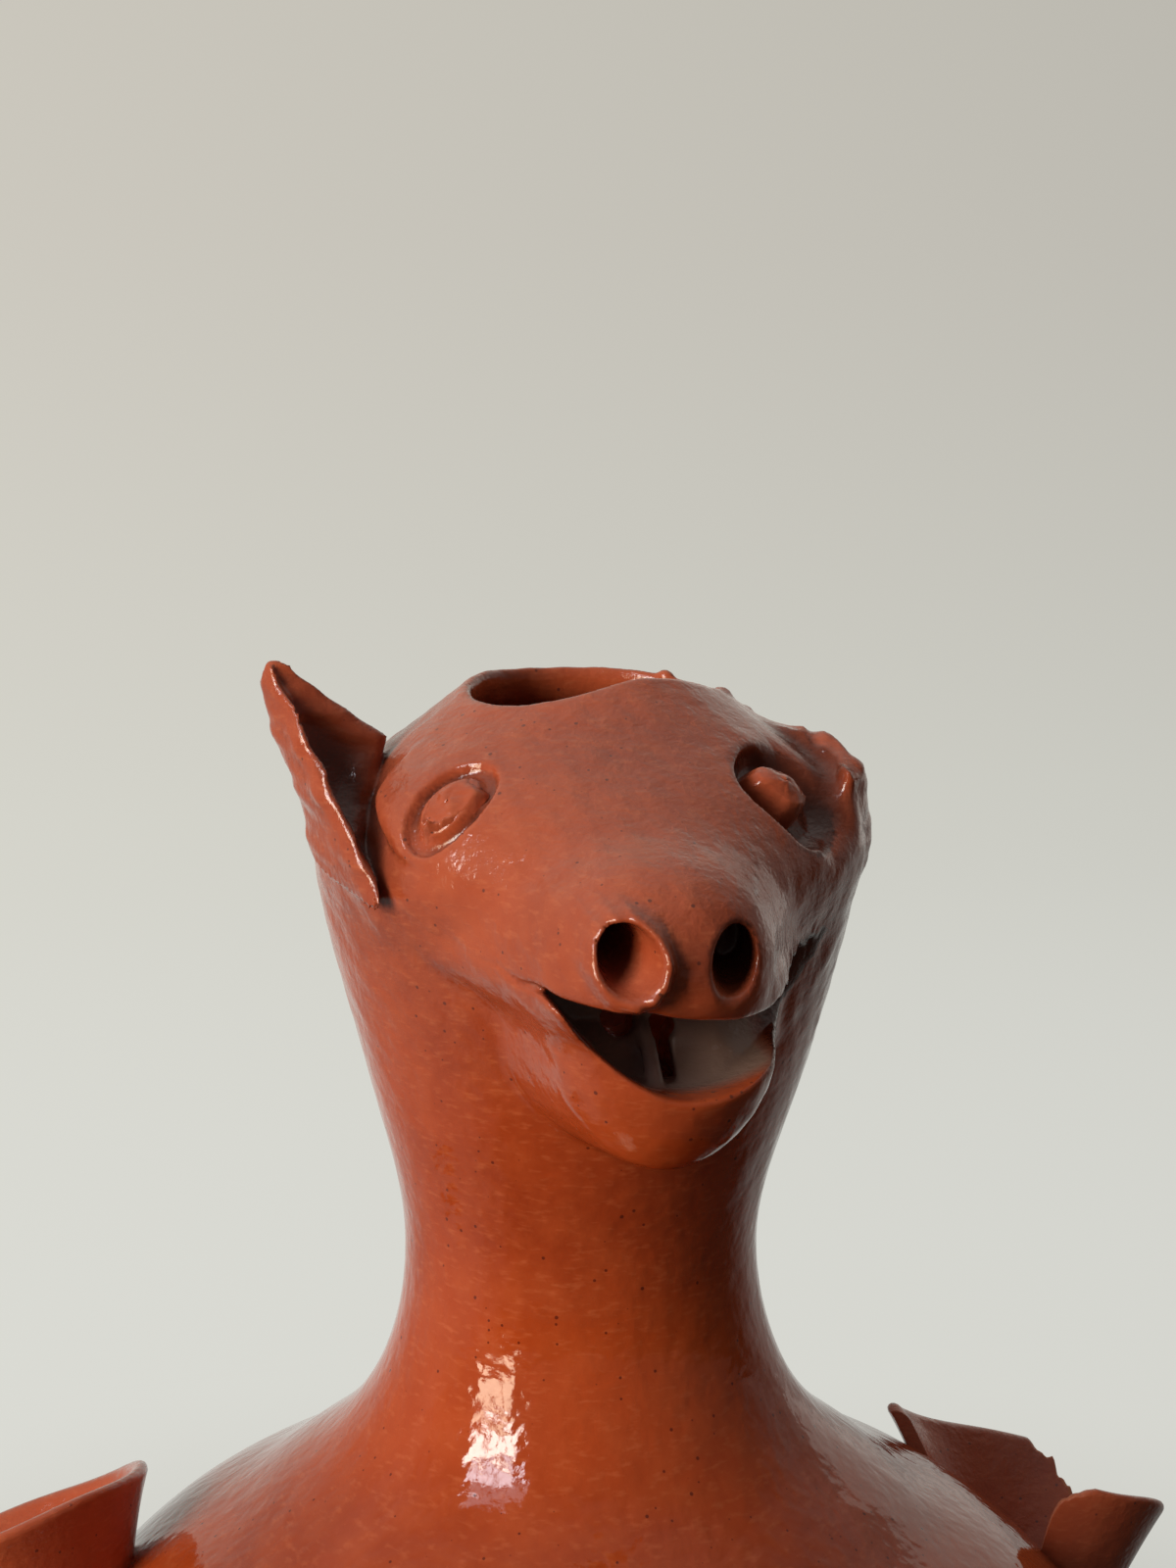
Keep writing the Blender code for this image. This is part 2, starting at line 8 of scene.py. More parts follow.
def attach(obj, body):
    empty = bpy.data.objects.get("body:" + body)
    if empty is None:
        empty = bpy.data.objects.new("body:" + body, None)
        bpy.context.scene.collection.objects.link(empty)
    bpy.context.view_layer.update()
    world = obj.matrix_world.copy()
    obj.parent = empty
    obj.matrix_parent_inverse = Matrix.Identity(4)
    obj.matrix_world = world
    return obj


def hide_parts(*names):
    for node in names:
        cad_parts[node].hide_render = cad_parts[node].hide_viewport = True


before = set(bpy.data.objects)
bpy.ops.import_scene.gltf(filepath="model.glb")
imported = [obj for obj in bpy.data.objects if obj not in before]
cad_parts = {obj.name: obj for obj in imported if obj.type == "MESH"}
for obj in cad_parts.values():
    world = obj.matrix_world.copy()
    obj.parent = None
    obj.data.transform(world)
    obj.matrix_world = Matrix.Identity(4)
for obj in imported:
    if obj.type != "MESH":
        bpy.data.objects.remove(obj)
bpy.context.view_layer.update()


# THE BODY. A round belly thrown on the wheel in red earthenware, with a soft shoulder that sweeps up into
# the neck in one curve. It is dipped in clear lead glaze, except for the foot, which stands bare.
MM = 0.001
FOOT_RADIUS = 60.0
FOOT_ROUNDING = 2.5
BELLY_RADIUS = 107.0
BELLY_HEIGHT = 90.0
SHOULDER_RISE = 76.5
BODY_WALL = 6.0
BODY_FLOOR = 8.0
NECK_FOOT_HEIGHT = 159.0
THROAT_HEIGHT = 220.0
BARE_FOOT_HEIGHT = 7.0
HEAD_LEAN = 1.3
WAIST_HEIGHT = 196.0
BEND_LENGTH = 44.0
ROW_SPACING = 1.5
TURN_STEPS = 256
# Height and radius of the thrown wall at the places where a potter would measure it
NECK_STATIONS = [(159.0, 53.0), (163.5, 47.0), (170.0, 40.4), (180.0, 34.6), (195.0, 30.9), (204.0, 30.7)]
HEAD_STATIONS = [(214.0, 32.4), (226.5, 36.0), (245.0, 41.0), (262.0, 45.2), (270.0, 46.0), (276.0, 44.6),
                 (282.0, 40.4), (290.0, 30.4), (298.0, 20.3), (303.0, 14.6)]
EARTHENWARE = "B64A1E"
EARTHENWARE_PALE = "BC562B"
EARTHENWARE_DEEP = "7C2812"
PALE_FLECK = "CC6B40"
IRON_SPECK = "571C10"
DARK_GLAZE_AND_SHADE = "3A140B"
BARE_CLAY = "B4623C"
DUST_AND_PAINTED_LIGHT = "93857B"
GLAZE_IOR = 1.55
# The glaze is darker from this height down, fully so after this far
DARKENING_TOP = 178.0
DARKENING_FADE = 22.0


def to_linear(code):
    """An sRGB hex colour as the linear colour that a shader takes."""
    share = np.array([int(code[place:place + 2], 16) for place in (0, 2, 4)]) / 255
    linear = np.where(share <= 0.04045, share / 12.92, ((share + 0.055) / 1.055) ** 2.4)
    return (*linear.tolist(), 1.0)


def add_node(tree, kind, settings):
    """Adds one node and gives its first output.

    Settings name the node's properties, or its sockets with what each of them holds or is fed by.
    """
    node = tree.nodes.new("ShaderNode" + kind)
    for name, value in settings.items():
        if isinstance(value, bpy.types.NodeSocket):
            tree.links.new(value, node.inputs[name])
        elif isinstance(name, str) and hasattr(node, name):
            setattr(node, name, value)
        else:
            node.inputs[name].default_value = value
    return next((socket for socket in node.outputs if socket.enabled), None)


def ranged(tree, value, low, high, to_low=0.0, to_high=1.0, curve="LINEAR"):
    """A value carried over from one range to another, and held at the ends of it."""
    return add_node(tree, "MapRange", {"interpolation_type": curve, "Value": value, "From Min": low,
                                       "From Max": high, "To Min": to_low, "To Max": to_high})


def reckoned(tree, operation, first, second):
    """One step of sums on two values."""
    return add_node(tree, "Math", {"operation": operation, 0: first, 1: second})


def tinted(tree, share, first, second, way="MIX"):
    """The first colour with a share of the second."""
    return add_node(tree, "Mix", {"data_type": "RGBA", "blend_type": way, 0: share, 6: first, 7: second})


def marks_of(tree, *names):
    """The values of a mesh's own marks."""
    return [add_node(tree, "Attribute", {"attribute_name": name}).node.outputs["Fac"] for name in names]


def fresh_tree(holder):
    """The emptied node tree of a new material or world."""
    holder.use_nodes = True
    holder.node_tree.nodes.clear()
    return holder.node_tree


def glazed_earthenware(name):
    """Red earthenware under clear lead glaze.

    The eye sees a warm orange body through a wet gloss, clouded a little darker and paler over tens of
    millimetres, with half-millimetre iron specks. The glaze is wavy, so that a window breaks up in it,
    and it lies darker in the creases; where the mark "crease" is set the colour also holds painted shade
    in hollows. Where the mark "dull" is set it is worn to a haze of dust, which in the mouth is also painted
    light, and where the mark "bare" is set the rough clay itself shows.
    """
    material = bpy.data.materials.new(name)
    tree = fresh_tree(material)
    place = add_node(tree, "TexCoord", {}).node.outputs["Object"]
    bare, crease, dull = marks_of(tree, "bare", "crease", "dull")

    def noise(size, detail, roughness=0.5):
        """Cloudy noise whose clouds have the size given, in metres."""
        return add_node(tree, "TexNoise", {"Vector": place, "Scale": 1 / size, "Detail": detail,
                                           "Roughness": roughness})

    # Clouds 45 mm across, mottling 6 mm across, flecks drawn out level by the wheel, and specks in cells
    # of 2 mm, whose radius goes from nothing to 0.19 of a cell by the cell's own chance
    mottle = noise(0.006, 6.0, 0.62)
    level = add_node(tree, "Mapping", {"Vector": place, "Scale": (1 / 0.0028, 1 / 0.0028, 1 / 0.0009)})
    thrown = add_node(tree, "TexNoise", {"Vector": level, "Scale": 1.0, "Detail": 3.0})
    cells = add_node(tree, "TexVoronoi", {"Vector": place, "Scale": 1 / 0.0020})
    chance = add_node(tree, "SeparateColor", {"Color": cells.node.outputs["Color"]})
    margin = reckoned(tree, "SUBTRACT", ranged(tree, chance, 0.45, 1.0, 0.0, 0.19), cells)
    clay = to_linear(EARTHENWARE)
    # Over the clay's own tones go dust, the dark glaze of the creases with painted shade in hollows, and
    # bare clay
    for share, colour in [(ranged(tree, noise(0.045, 5.0), 0.40, 0.72, 0.0, 0.60), EARTHENWARE_DEEP),
                          (ranged(tree, mottle, 0.42, 0.75, 0.0, 0.55), EARTHENWARE_PALE),
                          (ranged(tree, thrown, 0.54, 0.76, 0.0, 0.40), PALE_FLECK),
                          (ranged(tree, margin, 0.0, 0.04, 0.0, 0.8), IRON_SPECK),
                          (reckoned(tree, "MULTIPLY", dull, 0.15), DUST_AND_PAINTED_LIGHT),
                          (reckoned(tree, "MULTIPLY", crease, 0.85), DARK_GLAZE_AND_SHADE),
                          (bare, BARE_CLAY)]:
        clay = tinted(tree, share, clay, to_linear(colour))

    gloss = ranged(tree, mottle, 0.3, 0.7, 0.04, 0.11)
    worn = ranged(tree, mottle, 0.3, 0.7, 0.12, 0.28)
    rough = add_node(tree, "Mix", {"data_type": "FLOAT", 0: dull, 2: gloss, 3: worn})
    rough = add_node(tree, "Mix", {"data_type": "FLOAT", 0: bare, 2: rough, 3: 0.8})

    # The glaze rolls in waves 7 mm apart and dimples 3 mm apart, over the level lines that the thrower's
    # fingers left and grit of a millimetre, which show most where the glaze is worn
    worn_through = ranged(tree, dull, 0.0, 1.0, 0.2, 1.0)
    relief = {}
    for height, distance, strength in [(noise(0.007, 2.0), 0.0003, 1.0), (noise(0.003, 1.0), 0.00015, 1.0),
                                       (thrown, 0.0001, worn_through),
                                       (noise(0.0010, 3.0), 0.00016, worn_through)]:
        settings = {"Height": height, "Distance": distance, "Strength": strength, **relief}
        relief = {"Normal": add_node(tree, "Bump", settings)}
    shader = add_node(tree, "BsdfPrincipled",
                      {"IOR": GLAZE_IOR, "Base Color": clay, "Roughness": rough, **relief})
    add_node(tree, "OutputMaterial", {"Surface": shader})
    return material


def unit(value):
    """A value held between nought and one."""
    return np.clip(value, 0, 1)


def eased(share):
    """A share that starts and ends gently."""
    return share * share * (3 - 2 * share)


def full_turn(steps):
    """Angles once round, evenly spaced."""
    return np.linspace(0, 2 * math.pi, steps, endpoint=False)


def normalised(vectors):
    """The same directions with a length of one."""
    return vectors / np.maximum(np.linalg.norm(vectors, axis=-1, keepdims=True), 1e-9)


def distances_along(points):
    """How far along a line each of its points lies."""
    return np.concatenate([[0], np.cumsum(np.linalg.norm(np.diff(points, axis=0), axis=1))])


def spline(knots, values, at):
    """A natural cubic spline: cubic between knots, smooth through them, with no bend at its two ends."""
    step = np.diff(knots)
    inner = np.arange(1, len(knots) - 1)
    system = np.eye(len(knots))
    system[inner, inner - 1] = step[:-1]
    system[inner, inner] = 2 * (step[:-1] + step[1:])
    system[inner, inner + 1] = step[1:]
    right = np.zeros(len(knots))
    right[inner] = 6 * np.diff(np.diff(values) / step)
    bend = np.linalg.solve(system, right)
    place = np.clip(np.searchsorted(knots, at) - 1, 0, len(step) - 1)
    width = step[place]
    before = (knots[place + 1] - at) / width
    after = 1 - before
    curve = (before ** 3 - before) * bend[place] + (after ** 3 - after) * bend[place + 1]
    return before * values[place] + after * values[place + 1] + curve * width ** 2 / 6


def shoulder_radius(height):
    """A quarter of a sine below the belly, and a quarter of an ellipse above it."""
    bulge = np.sin(unit(height / BELLY_HEIGHT) * math.pi / 2)
    below = FOOT_RADIUS + (BELLY_RADIUS - FOOT_RADIUS) * bulge
    rise = unit((height - BELLY_HEIGHT) / SHOULDER_RISE)
    return np.where(height < BELLY_HEIGHT, below, BELLY_RADIUS * np.sqrt(1 - rise ** 2))


SPLINE_FOOT = np.array([120.0, 130.0, 138.0, 146.0, 152.5])
STATIONS = np.array(NECK_STATIONS + HEAD_STATIONS)
WALL_HEIGHTS = np.concatenate([SPLINE_FOOT, STATIONS[:, 0]])
WALL_RADII = np.concatenate([shoulder_radius(SPLINE_FOOT), STATIONS[:, 1]])


def wall_radius(height):
    """The thrown wall from belly to rim: the shoulder's ellipse below, one spline through the rest."""
    upper = spline(WALL_HEIGHTS, WALL_RADII, np.clip(height, WALL_HEIGHTS[0], WALL_HEIGHTS[-1]))
    return np.where(height < SPLINE_FOOT[2], shoulder_radius(height), upper)


def wander(x, y, z):
    """The potter's hand: slow waves of a few tenths of a millimetre that every wall carries."""
    slow = 0.16 * np.sin(x / 14 + z / 27 + 0.6) + 0.20 * np.sin(y / 16 - z / 33 + 2.1)
    return slow + 0.12 * np.sin((x + y) / 11 + z / 14)


def head_lean(z):
    """How far the head stands to its left of the foot's axis: nothing at the waist, then an even bend."""
    return HEAD_LEAN * eased(unit((z - WAIST_HEIGHT) / BEND_LENGTH))


def evenly(points, spacing):
    """The same line with its points a set distance apart, measured along it."""
    along = distances_along(points)
    marks = np.linspace(0, along[-1], max(2, int(round(along[-1] / spacing)) + 1))
    return np.stack([np.interp(marks, along, points[:, axis]) for axis in range(2)], axis=1)


def turned(profile):
    """A profile of radius and height carried round the axis, with the hand's wander and the head's lean."""
    turn = full_turn(TURN_STEPS)
    radius = profile[:, :1]
    height = profile[:, 1:] + 0 * turn
    x, y = radius * np.cos(turn), radius * np.sin(turn)
    grown = radius + wander(x, y, height) * unit(radius / 20)
    return np.stack([grown * np.cos(turn) + head_lean(height), grown * np.sin(turn), height], axis=2)


def grid_normals(points):
    """The unit normals of a closed grid: the cross product of its two directions at every point."""
    along = np.gradient(points, axis=0)
    around = np.roll(points, -1, axis=1) - np.roll(points, 1, axis=1)
    return normalised(np.cross(around, along))


def grid_faces(rows, columns, turns=True, rings=False):
    """Quads over a grid of points; turns joins its last column to its first, and rings its rows likewise."""
    row = np.arange(rows if rings else rows - 1)[:, None]
    column = np.arange(columns if turns else columns - 1)[None, :]
    next_row, next_column = (row + 1) % rows, (column + 1) % columns
    corners = [row * columns + column, row * columns + next_column,
               next_row * columns + next_column, next_row * columns + column]
    return np.stack(np.broadcast_arrays(*corners), axis=2).reshape(-1, 4)


def pole_faces(ring, pole, outward_first):
    """Triangles from a ring of points to the point that closes it."""
    after = np.roll(ring, -1)
    order = (ring, after) if outward_first else (after, ring)
    return np.stack([*order, np.full(len(ring), pole)], axis=1)


def add_object(name, points, face_groups, marks, material):
    """An object from points in metres, groups of faces, marks for its material, and the material."""
    mesh = bpy.data.meshes.new(name)
    faces = [group.astype(np.int32) for group in face_groups]
    corners = np.concatenate([group.ravel() for group in faces])
    sizes = np.concatenate([np.full(len(group), group.shape[1], np.int32) for group in faces])
    mesh.vertices.add(len(points))
    mesh.vertices.foreach_set("co", points.astype(np.float32).ravel())
    mesh.loops.add(len(corners))
    mesh.loops.foreach_set("vertex_index", corners)
    mesh.polygons.add(len(sizes))
    mesh.polygons.foreach_set("loop_start", np.concatenate([[0], np.cumsum(sizes)[:-1]]).astype(np.int32))
    mesh.polygons.foreach_set("use_smooth", np.ones(len(sizes), bool))
    for mark, values in marks.items():
        layer = mesh.attributes.new(mark, "FLOAT", "POINT")
        layer.data.foreach_set("value", values.astype(np.float32).ravel())
    mesh.update(calc_edges=True)
    mesh.validate()
    mesh.materials.append(material)
    item = bpy.data.objects.new(name, mesh)
    bpy.context.scene.collection.objects.link(item)
    return item


GLAZE = glazed_earthenware("lead_glazed_red_earthenware")


def add_piece(name, node, points, face_groups, normals, marks):
    """A piece of the jug from points in millimetres, faces, the points' normals and marks for the glaze."""
    piece = add_object(name, points.reshape(-1, 3) * MM, face_groups, marks, GLAZE)
    piece.data.normals_split_custom_set_from_vertices(normals.reshape(-1, 3).astype(np.float32))
    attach(piece, "root")
    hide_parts(node)


def lifted(lowest, highest, spacing):
    """The wall's profile between two heights, with its points evenly spaced."""
    height = np.linspace(lowest, highest, 600)
    return evenly(np.stack([wall_radius(height), height], axis=1), spacing)


foot_turn = np.linspace(0, math.pi / 2, 8)
foot_edge = np.stack([FOOT_RADIUS - FOOT_ROUNDING + FOOT_ROUNDING * np.sin(foot_turn),
                      FOOT_ROUNDING - FOOT_ROUNDING * np.cos(foot_turn)], axis=1)
base = evenly(np.array([[2.0, 0.0], foot_edge[0]]), 3.0)
body_wall = lifted(FOOT_ROUNDING, NECK_FOOT_HEIGHT, ROW_SPACING)
neck_wall = lifted(NECK_FOOT_HEIGHT, THROAT_HEIGHT, ROW_SPACING)
beyond = lifted(THROAT_HEIGHT, THROAT_HEIGHT + 4, ROW_SPACING)
outside_profile = np.concatenate([base, foot_edge[1:], body_wall[1:], neck_wall[1:], beyond[1:]])
outside = turned(outside_profile)
outside_normals = grid_normals(outside)
body_rows = len(base) + len(foot_edge) + len(body_wall) - 2
neck_end = body_rows + len(neck_wall) - 1

# The inside follows the outside at one wall's thickness, down to the floor
inside = outside - BODY_WALL * outside_normals
inside_normals = -outside_normals
floor_row = int(np.argmax(outside_profile[:, 1] > BODY_FLOOR + 4))
inner_body = inside[floor_row:body_rows][::-1]
floor_share = np.linspace(0.97, 0.02, 26)[:, None, None]
inner_edge = inner_body[-1] * [1, 1, 0]
drop = (inner_body[-1, 0, 2] - BODY_FLOOR) * np.sqrt(unit((floor_share - 0.8) / 0.2))
inner_floor = inner_edge[None] * floor_share + np.array([0, 0, 1]) * (BODY_FLOOR + drop)
inner_all = np.concatenate([inner_body, inner_floor])
inner_all_normals = grid_normals(inner_all)

rows = np.concatenate([outside[:body_rows], inner_all])
row_normals = np.concatenate([outside_normals[:body_rows], inner_all_normals])
points = np.concatenate([rows.reshape(-1, 3), [[0, 0, 0], [0, 0, BODY_FLOOR]]])
normals = np.concatenate([row_normals.reshape(-1, 3), [[0, 0, -1], [0, 0, 1]]])
last = len(rows) - 1
ring = np.arange(TURN_STEPS)
poles = np.concatenate([pole_faces(ring, len(points) - 2, False),
                        pole_faces(last * TURN_STEPS + ring, len(points) - 1, True)])
# Glaze stops above the foot along a wavy line; the base under it is bare
angle = np.arctan2(points[:, 1], points[:, 0])
line = BARE_FOOT_HEIGHT + 1.6 * np.sin(3 * angle + 1)
line = line + 0.9 * np.sin(7 * angle) + 0.5 * np.sin(13 * angle + 2)
under = np.arange(len(points)) < body_rows * TURN_STEPS
bare = unit((line - points[:, 2]) / 0.8 + 0.5) * under
bare[-2] = 1


def glaze_darkened_below(height):
    """How much darker the glaze is made on the shoulder and belly, below a set height."""
    return 0.25 * unit((DARKENING_TOP - height) / DARKENING_FADE)


add_piece("body_thrown", "body", points, [grid_faces(len(rows), TURN_STEPS), poles], normals,
          {"bare": bare, "crease": glaze_darkened_below(points[:, 2])})


# THE NECK. Thrown on from the shoulder in the same red clay: a narrow waist that opens again towards the
# throat. It is hollow, and it is joined to the head with slip where the two were thrown separately.
neck_rows = np.concatenate([outside[body_rows - 1:neck_end], inside[body_rows - 1:neck_end][::-1]])
neck_normals = np.concatenate([outside_normals[body_rows - 1:neck_end],
                               inside_normals[body_rows - 1:neck_end][::-1]])
add_piece("neck_thrown", "neck", neck_rows, [grid_faces(len(neck_rows), TURN_STEPS, rings=True)],
          neck_normals, {"crease": glaze_darkened_below(neck_rows[..., 2])})


# THE HEAD. A thrown bulb, open at its crown for filling, to which the face is modelled by hand while the
# clay is soft. The forms run into each other, so they are worked out as fields: at every point of a fine
# lattice, the distance to the clay in millimetres, less than zero inside. Fields are joined softly, cut,
# and skinned once, and the skin is then shared out among the pieces.
LATTICE = 0.6
LATTICE_LOW = np.array([-66.0, -80.0, 214.0])
LATTICE_HIGH = np.array([66.0, 52.0, 308.0])
CROWN_HEIGHT = 302.5
HEAD_WALL = 5.0
FILLING_RADIUS = 19.8
FILLING_EDGE = 2.6
FILLING_FLOOR = 286.0
BROW_HEIGHT = 256.0
BROW_RISE = 18.0
# Lumps of slip on the rim: across, back and up in millimetres, and radius
RIM_LUMPS = [(24.4, -2.0, 294.8, 1.4), (28.4, -2.0, 291.8, 1.2), (18.0, 12.5, 296.8, 1.2)]


def soft_join(first, second, width):
    """Two fields as one: the lesser of them, with a fillet as wide as given where they meet."""
    share = unit(0.5 + 0.5 * (second - first) / width)
    return second + (first - second) * share - width * share * (1 - share)


def soft_cut(clay, tool, width):
    """Clay with a tool's shape taken out, its edge rounded over the width given."""
    return -soft_join(-clay, tool, width)


def oval(across, up, power):
    """How far out in an oval a point lies, with one at its edge; a higher power squares its corners."""
    return (across ** power + up ** power) ** (1 / power)


def ellipsoid(x, y, z, middle, halves):
    """How far out in an ellipsoid a point lies, with one at its surface."""
    return np.sqrt(sum(((at - place) / half) ** 2 for at, place, half in zip((x, y, z), middle, halves)))


def thrown_head(x, y, z):
    """How far a point is outside the thrown wall: along the radius, shortened by the wall's slope."""
    height = np.clip(z, WALL_HEIGHTS[0], WALL_HEIGHTS[-1])
    slope = (wall_radius(height + 0.2) - wall_radius(height - 0.2)) / 0.4
    outside_wall = np.hypot(x - head_lean(height), y) - wall_radius(height) - wander(x, y, z)
    return np.maximum(outside_wall / np.sqrt(1 + slope ** 2), z - CROWN_HEIGHT)


def filling_hole(x, y, z):
    """An upright round hole in the crown, pushed out of true by the finger that smoothed it."""
    turn = np.arctan2(x - HEAD_LEAN, -y)
    uneven = 0.6 * np.cos(turn + 2.7) + 1.3 * np.cos(2 * turn + 2.16) + 1.2 * np.cos(3 * turn + 2.2)
    uneven = uneven - 2.2 * unit(-np.cos(turn - 0.2)) ** 2
    return np.maximum(np.hypot(x - HEAD_LEAN, y) - FILLING_RADIUS - uneven, FILLING_FLOOR - z)


# THE MUZZLE. A snout modelled in soft clay over the front of the head, wide at the cheeks, narrowing to a
# round nose with two nostrils pushed in with a stick, which left a rolled rim on the right one.
FACE_ROOT = 23.4
MUZZLE_REACH = 73.0
MUZZLE_ROOT_HALF = 36.0
NOSE_HALF = 14.6
NOSE_ASIDE = 0.8
LIP_HEIGHT = 252.5
MUZZLE_ROOT_RISE = 35.0
NOSE_RISE = 21.5
NOSE_ROUNDING = 14.0
NOSTRIL_HEIGHT = 264.3
NOSTRIL_SPACING = 15.4
NOSTRIL_DEPTH = 15.0
NOSTRIL_RIM = 1.7
# The face's forms end this far in front of the axis, inside the head
FACE_BACK = 10.0
# What turns a share of a section's half width into millimetres, on the average of its slopes
FIELD_SLOPE = 0.85
# Each nostril by side: its move across and up, half width, half height and narrowing
NOSTRILS = {-1: (-0.6, 1.0, 4.2, 5.2, 0.045), 1: (0.0, -1.0, 3.7, 5.2, 0.02)}


def tapered(y, reach, root_half, tip_half):
    """How far towards its tip a form of the face is, and half its width there."""
    share = unit((-y - FACE_ROOT) / (reach - FACE_ROOT))
    return share, tip_half + (root_half - tip_half) * (1 - share) ** 1.4


def modelled(y, aside, lift, half, above, below, powers, reach, rounding, depth):
    """A form of oval sections, with a power for each half and one for its tip, which is rounded over."""
    upper = oval(aside / half, np.abs(lift) / above, powers[0])
    lower = oval(aside / half, np.abs(lift) / below, powers[1])
    tip = np.clip(-y - (reach - rounding), 0, None) / rounding
    whole = oval(np.where(lift > 0, upper, lower), tip, powers[2])
    return np.maximum((whole - 1) * np.minimum(half, depth) * FIELD_SLOPE, FACE_BACK + y)


def muzzle(x, y, z):
    """Sections across the snout are ovals that narrow and sink towards the nose, which is rounded over."""
    share, half = tapered(y, MUZZLE_REACH, MUZZLE_ROOT_HALF, NOSE_HALF)
    rise = MUZZLE_ROOT_RISE + (NOSE_RISE - MUZZLE_ROOT_RISE) * share
    lift = z - LIP_HEIGHT - 0.38 * rise
    aside = np.abs(x + NOSE_ASIDE * share)
    return modelled(y, aside, lift, half, 0.62 * rise, 0.38 * rise + 2, (2.2, 3.2, 2.4), MUZZLE_REACH,
                    NOSE_ROUNDING, 0.5 * rise)


def nostril(x, y, z, side):
    """An oval hole that narrows as it goes in, back and a little upwards."""
    aside, lift, half_width, half_height, narrowing = NOSTRILS[side]
    inward = -y - MUZZLE_REACH
    across = (x - aside - side * NOSTRIL_SPACING / 2 + 0.12 * side * inward) / half_width
    up = (z - lift - NOSTRIL_HEIGHT + 0.15 * inward) / half_height
    return np.maximum((np.hypot(across, up) - 1 - narrowing * inward) * half_width, -inward - NOSTRIL_DEPTH)


# THE LOWER JAW. A scoop of clay under the muzzle, which hangs open so that the jug pours over its lip. A
# cut of the knife made the mouth, and two holes pierced at the back of it let the water through.
JAW_REACH = 64.0
JAW_ROOT_HALF = 26.5
CHIN_HALF = 15.5
JAW_ROOT_DROP = 28.5
CHIN_DROP = 23.0
CHIN_ROUNDING = 13.0
LOWER_LIP_HEIGHT = 241.4
LOWER_LIP_MIDDLE = 5.0
# How steeply the lower lip's bow climbs to the right and to the left
LOWER_LIP_BOWS = (0.0338, 0.018)
UPPER_LIP_HEIGHT = 254.6
JAW_ASIDE = 2.5
MOUTH_BACK = 42.0
MOUTH_SLANT = 1.1
SCOOP = (4.0, -52.0, 246.5)
SCOOP_HALVES = (13.0, 8.0, 5.5)
POUR_RADIUS = 2.6
POUR_ACROSS = (-2.9, 4.0)
POUR_HEIGHT = 249.4


def lower_jaw(x, y, z):
    """Sections across the jaw are half ovals that hang from the lip and shrink towards the chin."""
    share, half = tapered(y, JAW_REACH, JAW_ROOT_HALF, CHIN_HALF)
    fall = JAW_ROOT_DROP + (CHIN_DROP - JAW_ROOT_DROP) * share
    lift = z - LIP_HEIGHT + 0.2 * fall
    aside = np.abs(x - JAW_ASIDE)
    return modelled(y, aside, lift, half, 0.2 * fall + 7, 0.8 * fall, (4, 1.85, 2.2), JAW_REACH,
                    CHIN_ROUNDING, 0.8 * fall)


def lip_lines(x):
    """The heights of the mouth's two edges: a bow below, and a lip above that lifts to the left."""
    aside = x - LOWER_LIP_MIDDLE
    lower = LOWER_LIP_HEIGHT + np.where(aside < 0, *LOWER_LIP_BOWS) * aside ** 2
    upper = UPPER_LIP_HEIGHT + 0.13 * np.clip(10 - x, 0, None) + 0.22 * np.clip(x - 15, 0, None)
    torn = 0.5 * unit((x - 15) / 6) * np.sin(2.3 * x)
    return lower, upper + torn + 0.6 * np.exp(-((x + 5) / 3) ** 2)


def mouth(x, y, z):
    """The knife's cut between the two lips, back to the throat, and the scoop of the jaw behind the lip."""
    lower, upper = lip_lines(x)
    steep = 0.06 * (x - LOWER_LIP_MIDDLE)
    gap = np.maximum((lower - z) / np.sqrt(1 + steep ** 2), z - upper)
    ramp = MOUTH_BACK + MOUTH_SLANT * np.clip(POUR_HEIGHT - z, 0, None) - 0.5 * np.clip(x - 12, 0, None)
    gap = np.maximum(gap, ramp + y)
    return soft_join(gap, (ellipsoid(x, y, z, SCOOP, SCOOP_HALVES) - 1) * SCOOP_HALVES[2], 1.5)


def throat_holes(x, y, z):
    """Two round holes from the mouth into the hollow head, and a slot that runs down from the second."""
    first = np.hypot(x - POUR_ACROSS[0], z - POUR_HEIGHT) - POUR_RADIUS
    second = np.hypot(x - POUR_ACROSS[1], z - POUR_HEIGHT + 1.4) - POUR_RADIUS * 0.8
    slot = np.maximum(np.abs(x - POUR_ACROSS[1]) - 1.1, np.abs(z - POUR_HEIGHT + 4.5) - 4.0)
    return np.maximum(np.minimum(np.minimum(first, second), slot), np.abs(y + MOUTH_BACK) - 8)


def throat_ridge(x, y, z):
    """The clay pushed up between the holes: an upright rod with round ends."""
    slant = y + MOUTH_BACK + MOUTH_SLANT * (POUR_HEIGHT - z)
    return np.sqrt((x - 1.0) ** 2 + slant ** 2 / 2 + np.clip(np.abs(z - 245) - 3, 0, None) ** 2) - 1.3


# THE EARS. Two leaves of rolled clay pressed on behind the eyes, cupped forwards, their backs smoothed
# into the head. The right one is whole; the left one has broken off near its root.
# Each ear's corners, by side: turn from the face in degrees, distance from the axis, and height
EAR_ROOT_FRONTS = {-1: (52.0, 49.3, 266.5), 1: (55.5, 42.8, 260.5)}
EAR_ROOT_BACKS = {-1: (84.0, 34.6, 288.3), 1: (80.0, 33.0, 289.0)}
EAR_TIPS = {-1: (86.0, 53.7, 302.9), 1: (59.5, 51.4, 304.0)}
EAR_THICKNESSES = {-1: 4.0, 1: 2.0}
EAR_BULGES = {-1: 8.8, 1: 3.5}
EAR_FILLETS = {-1: 1.4, 1: 5.0}
EAR_ROUNDING = 1.2
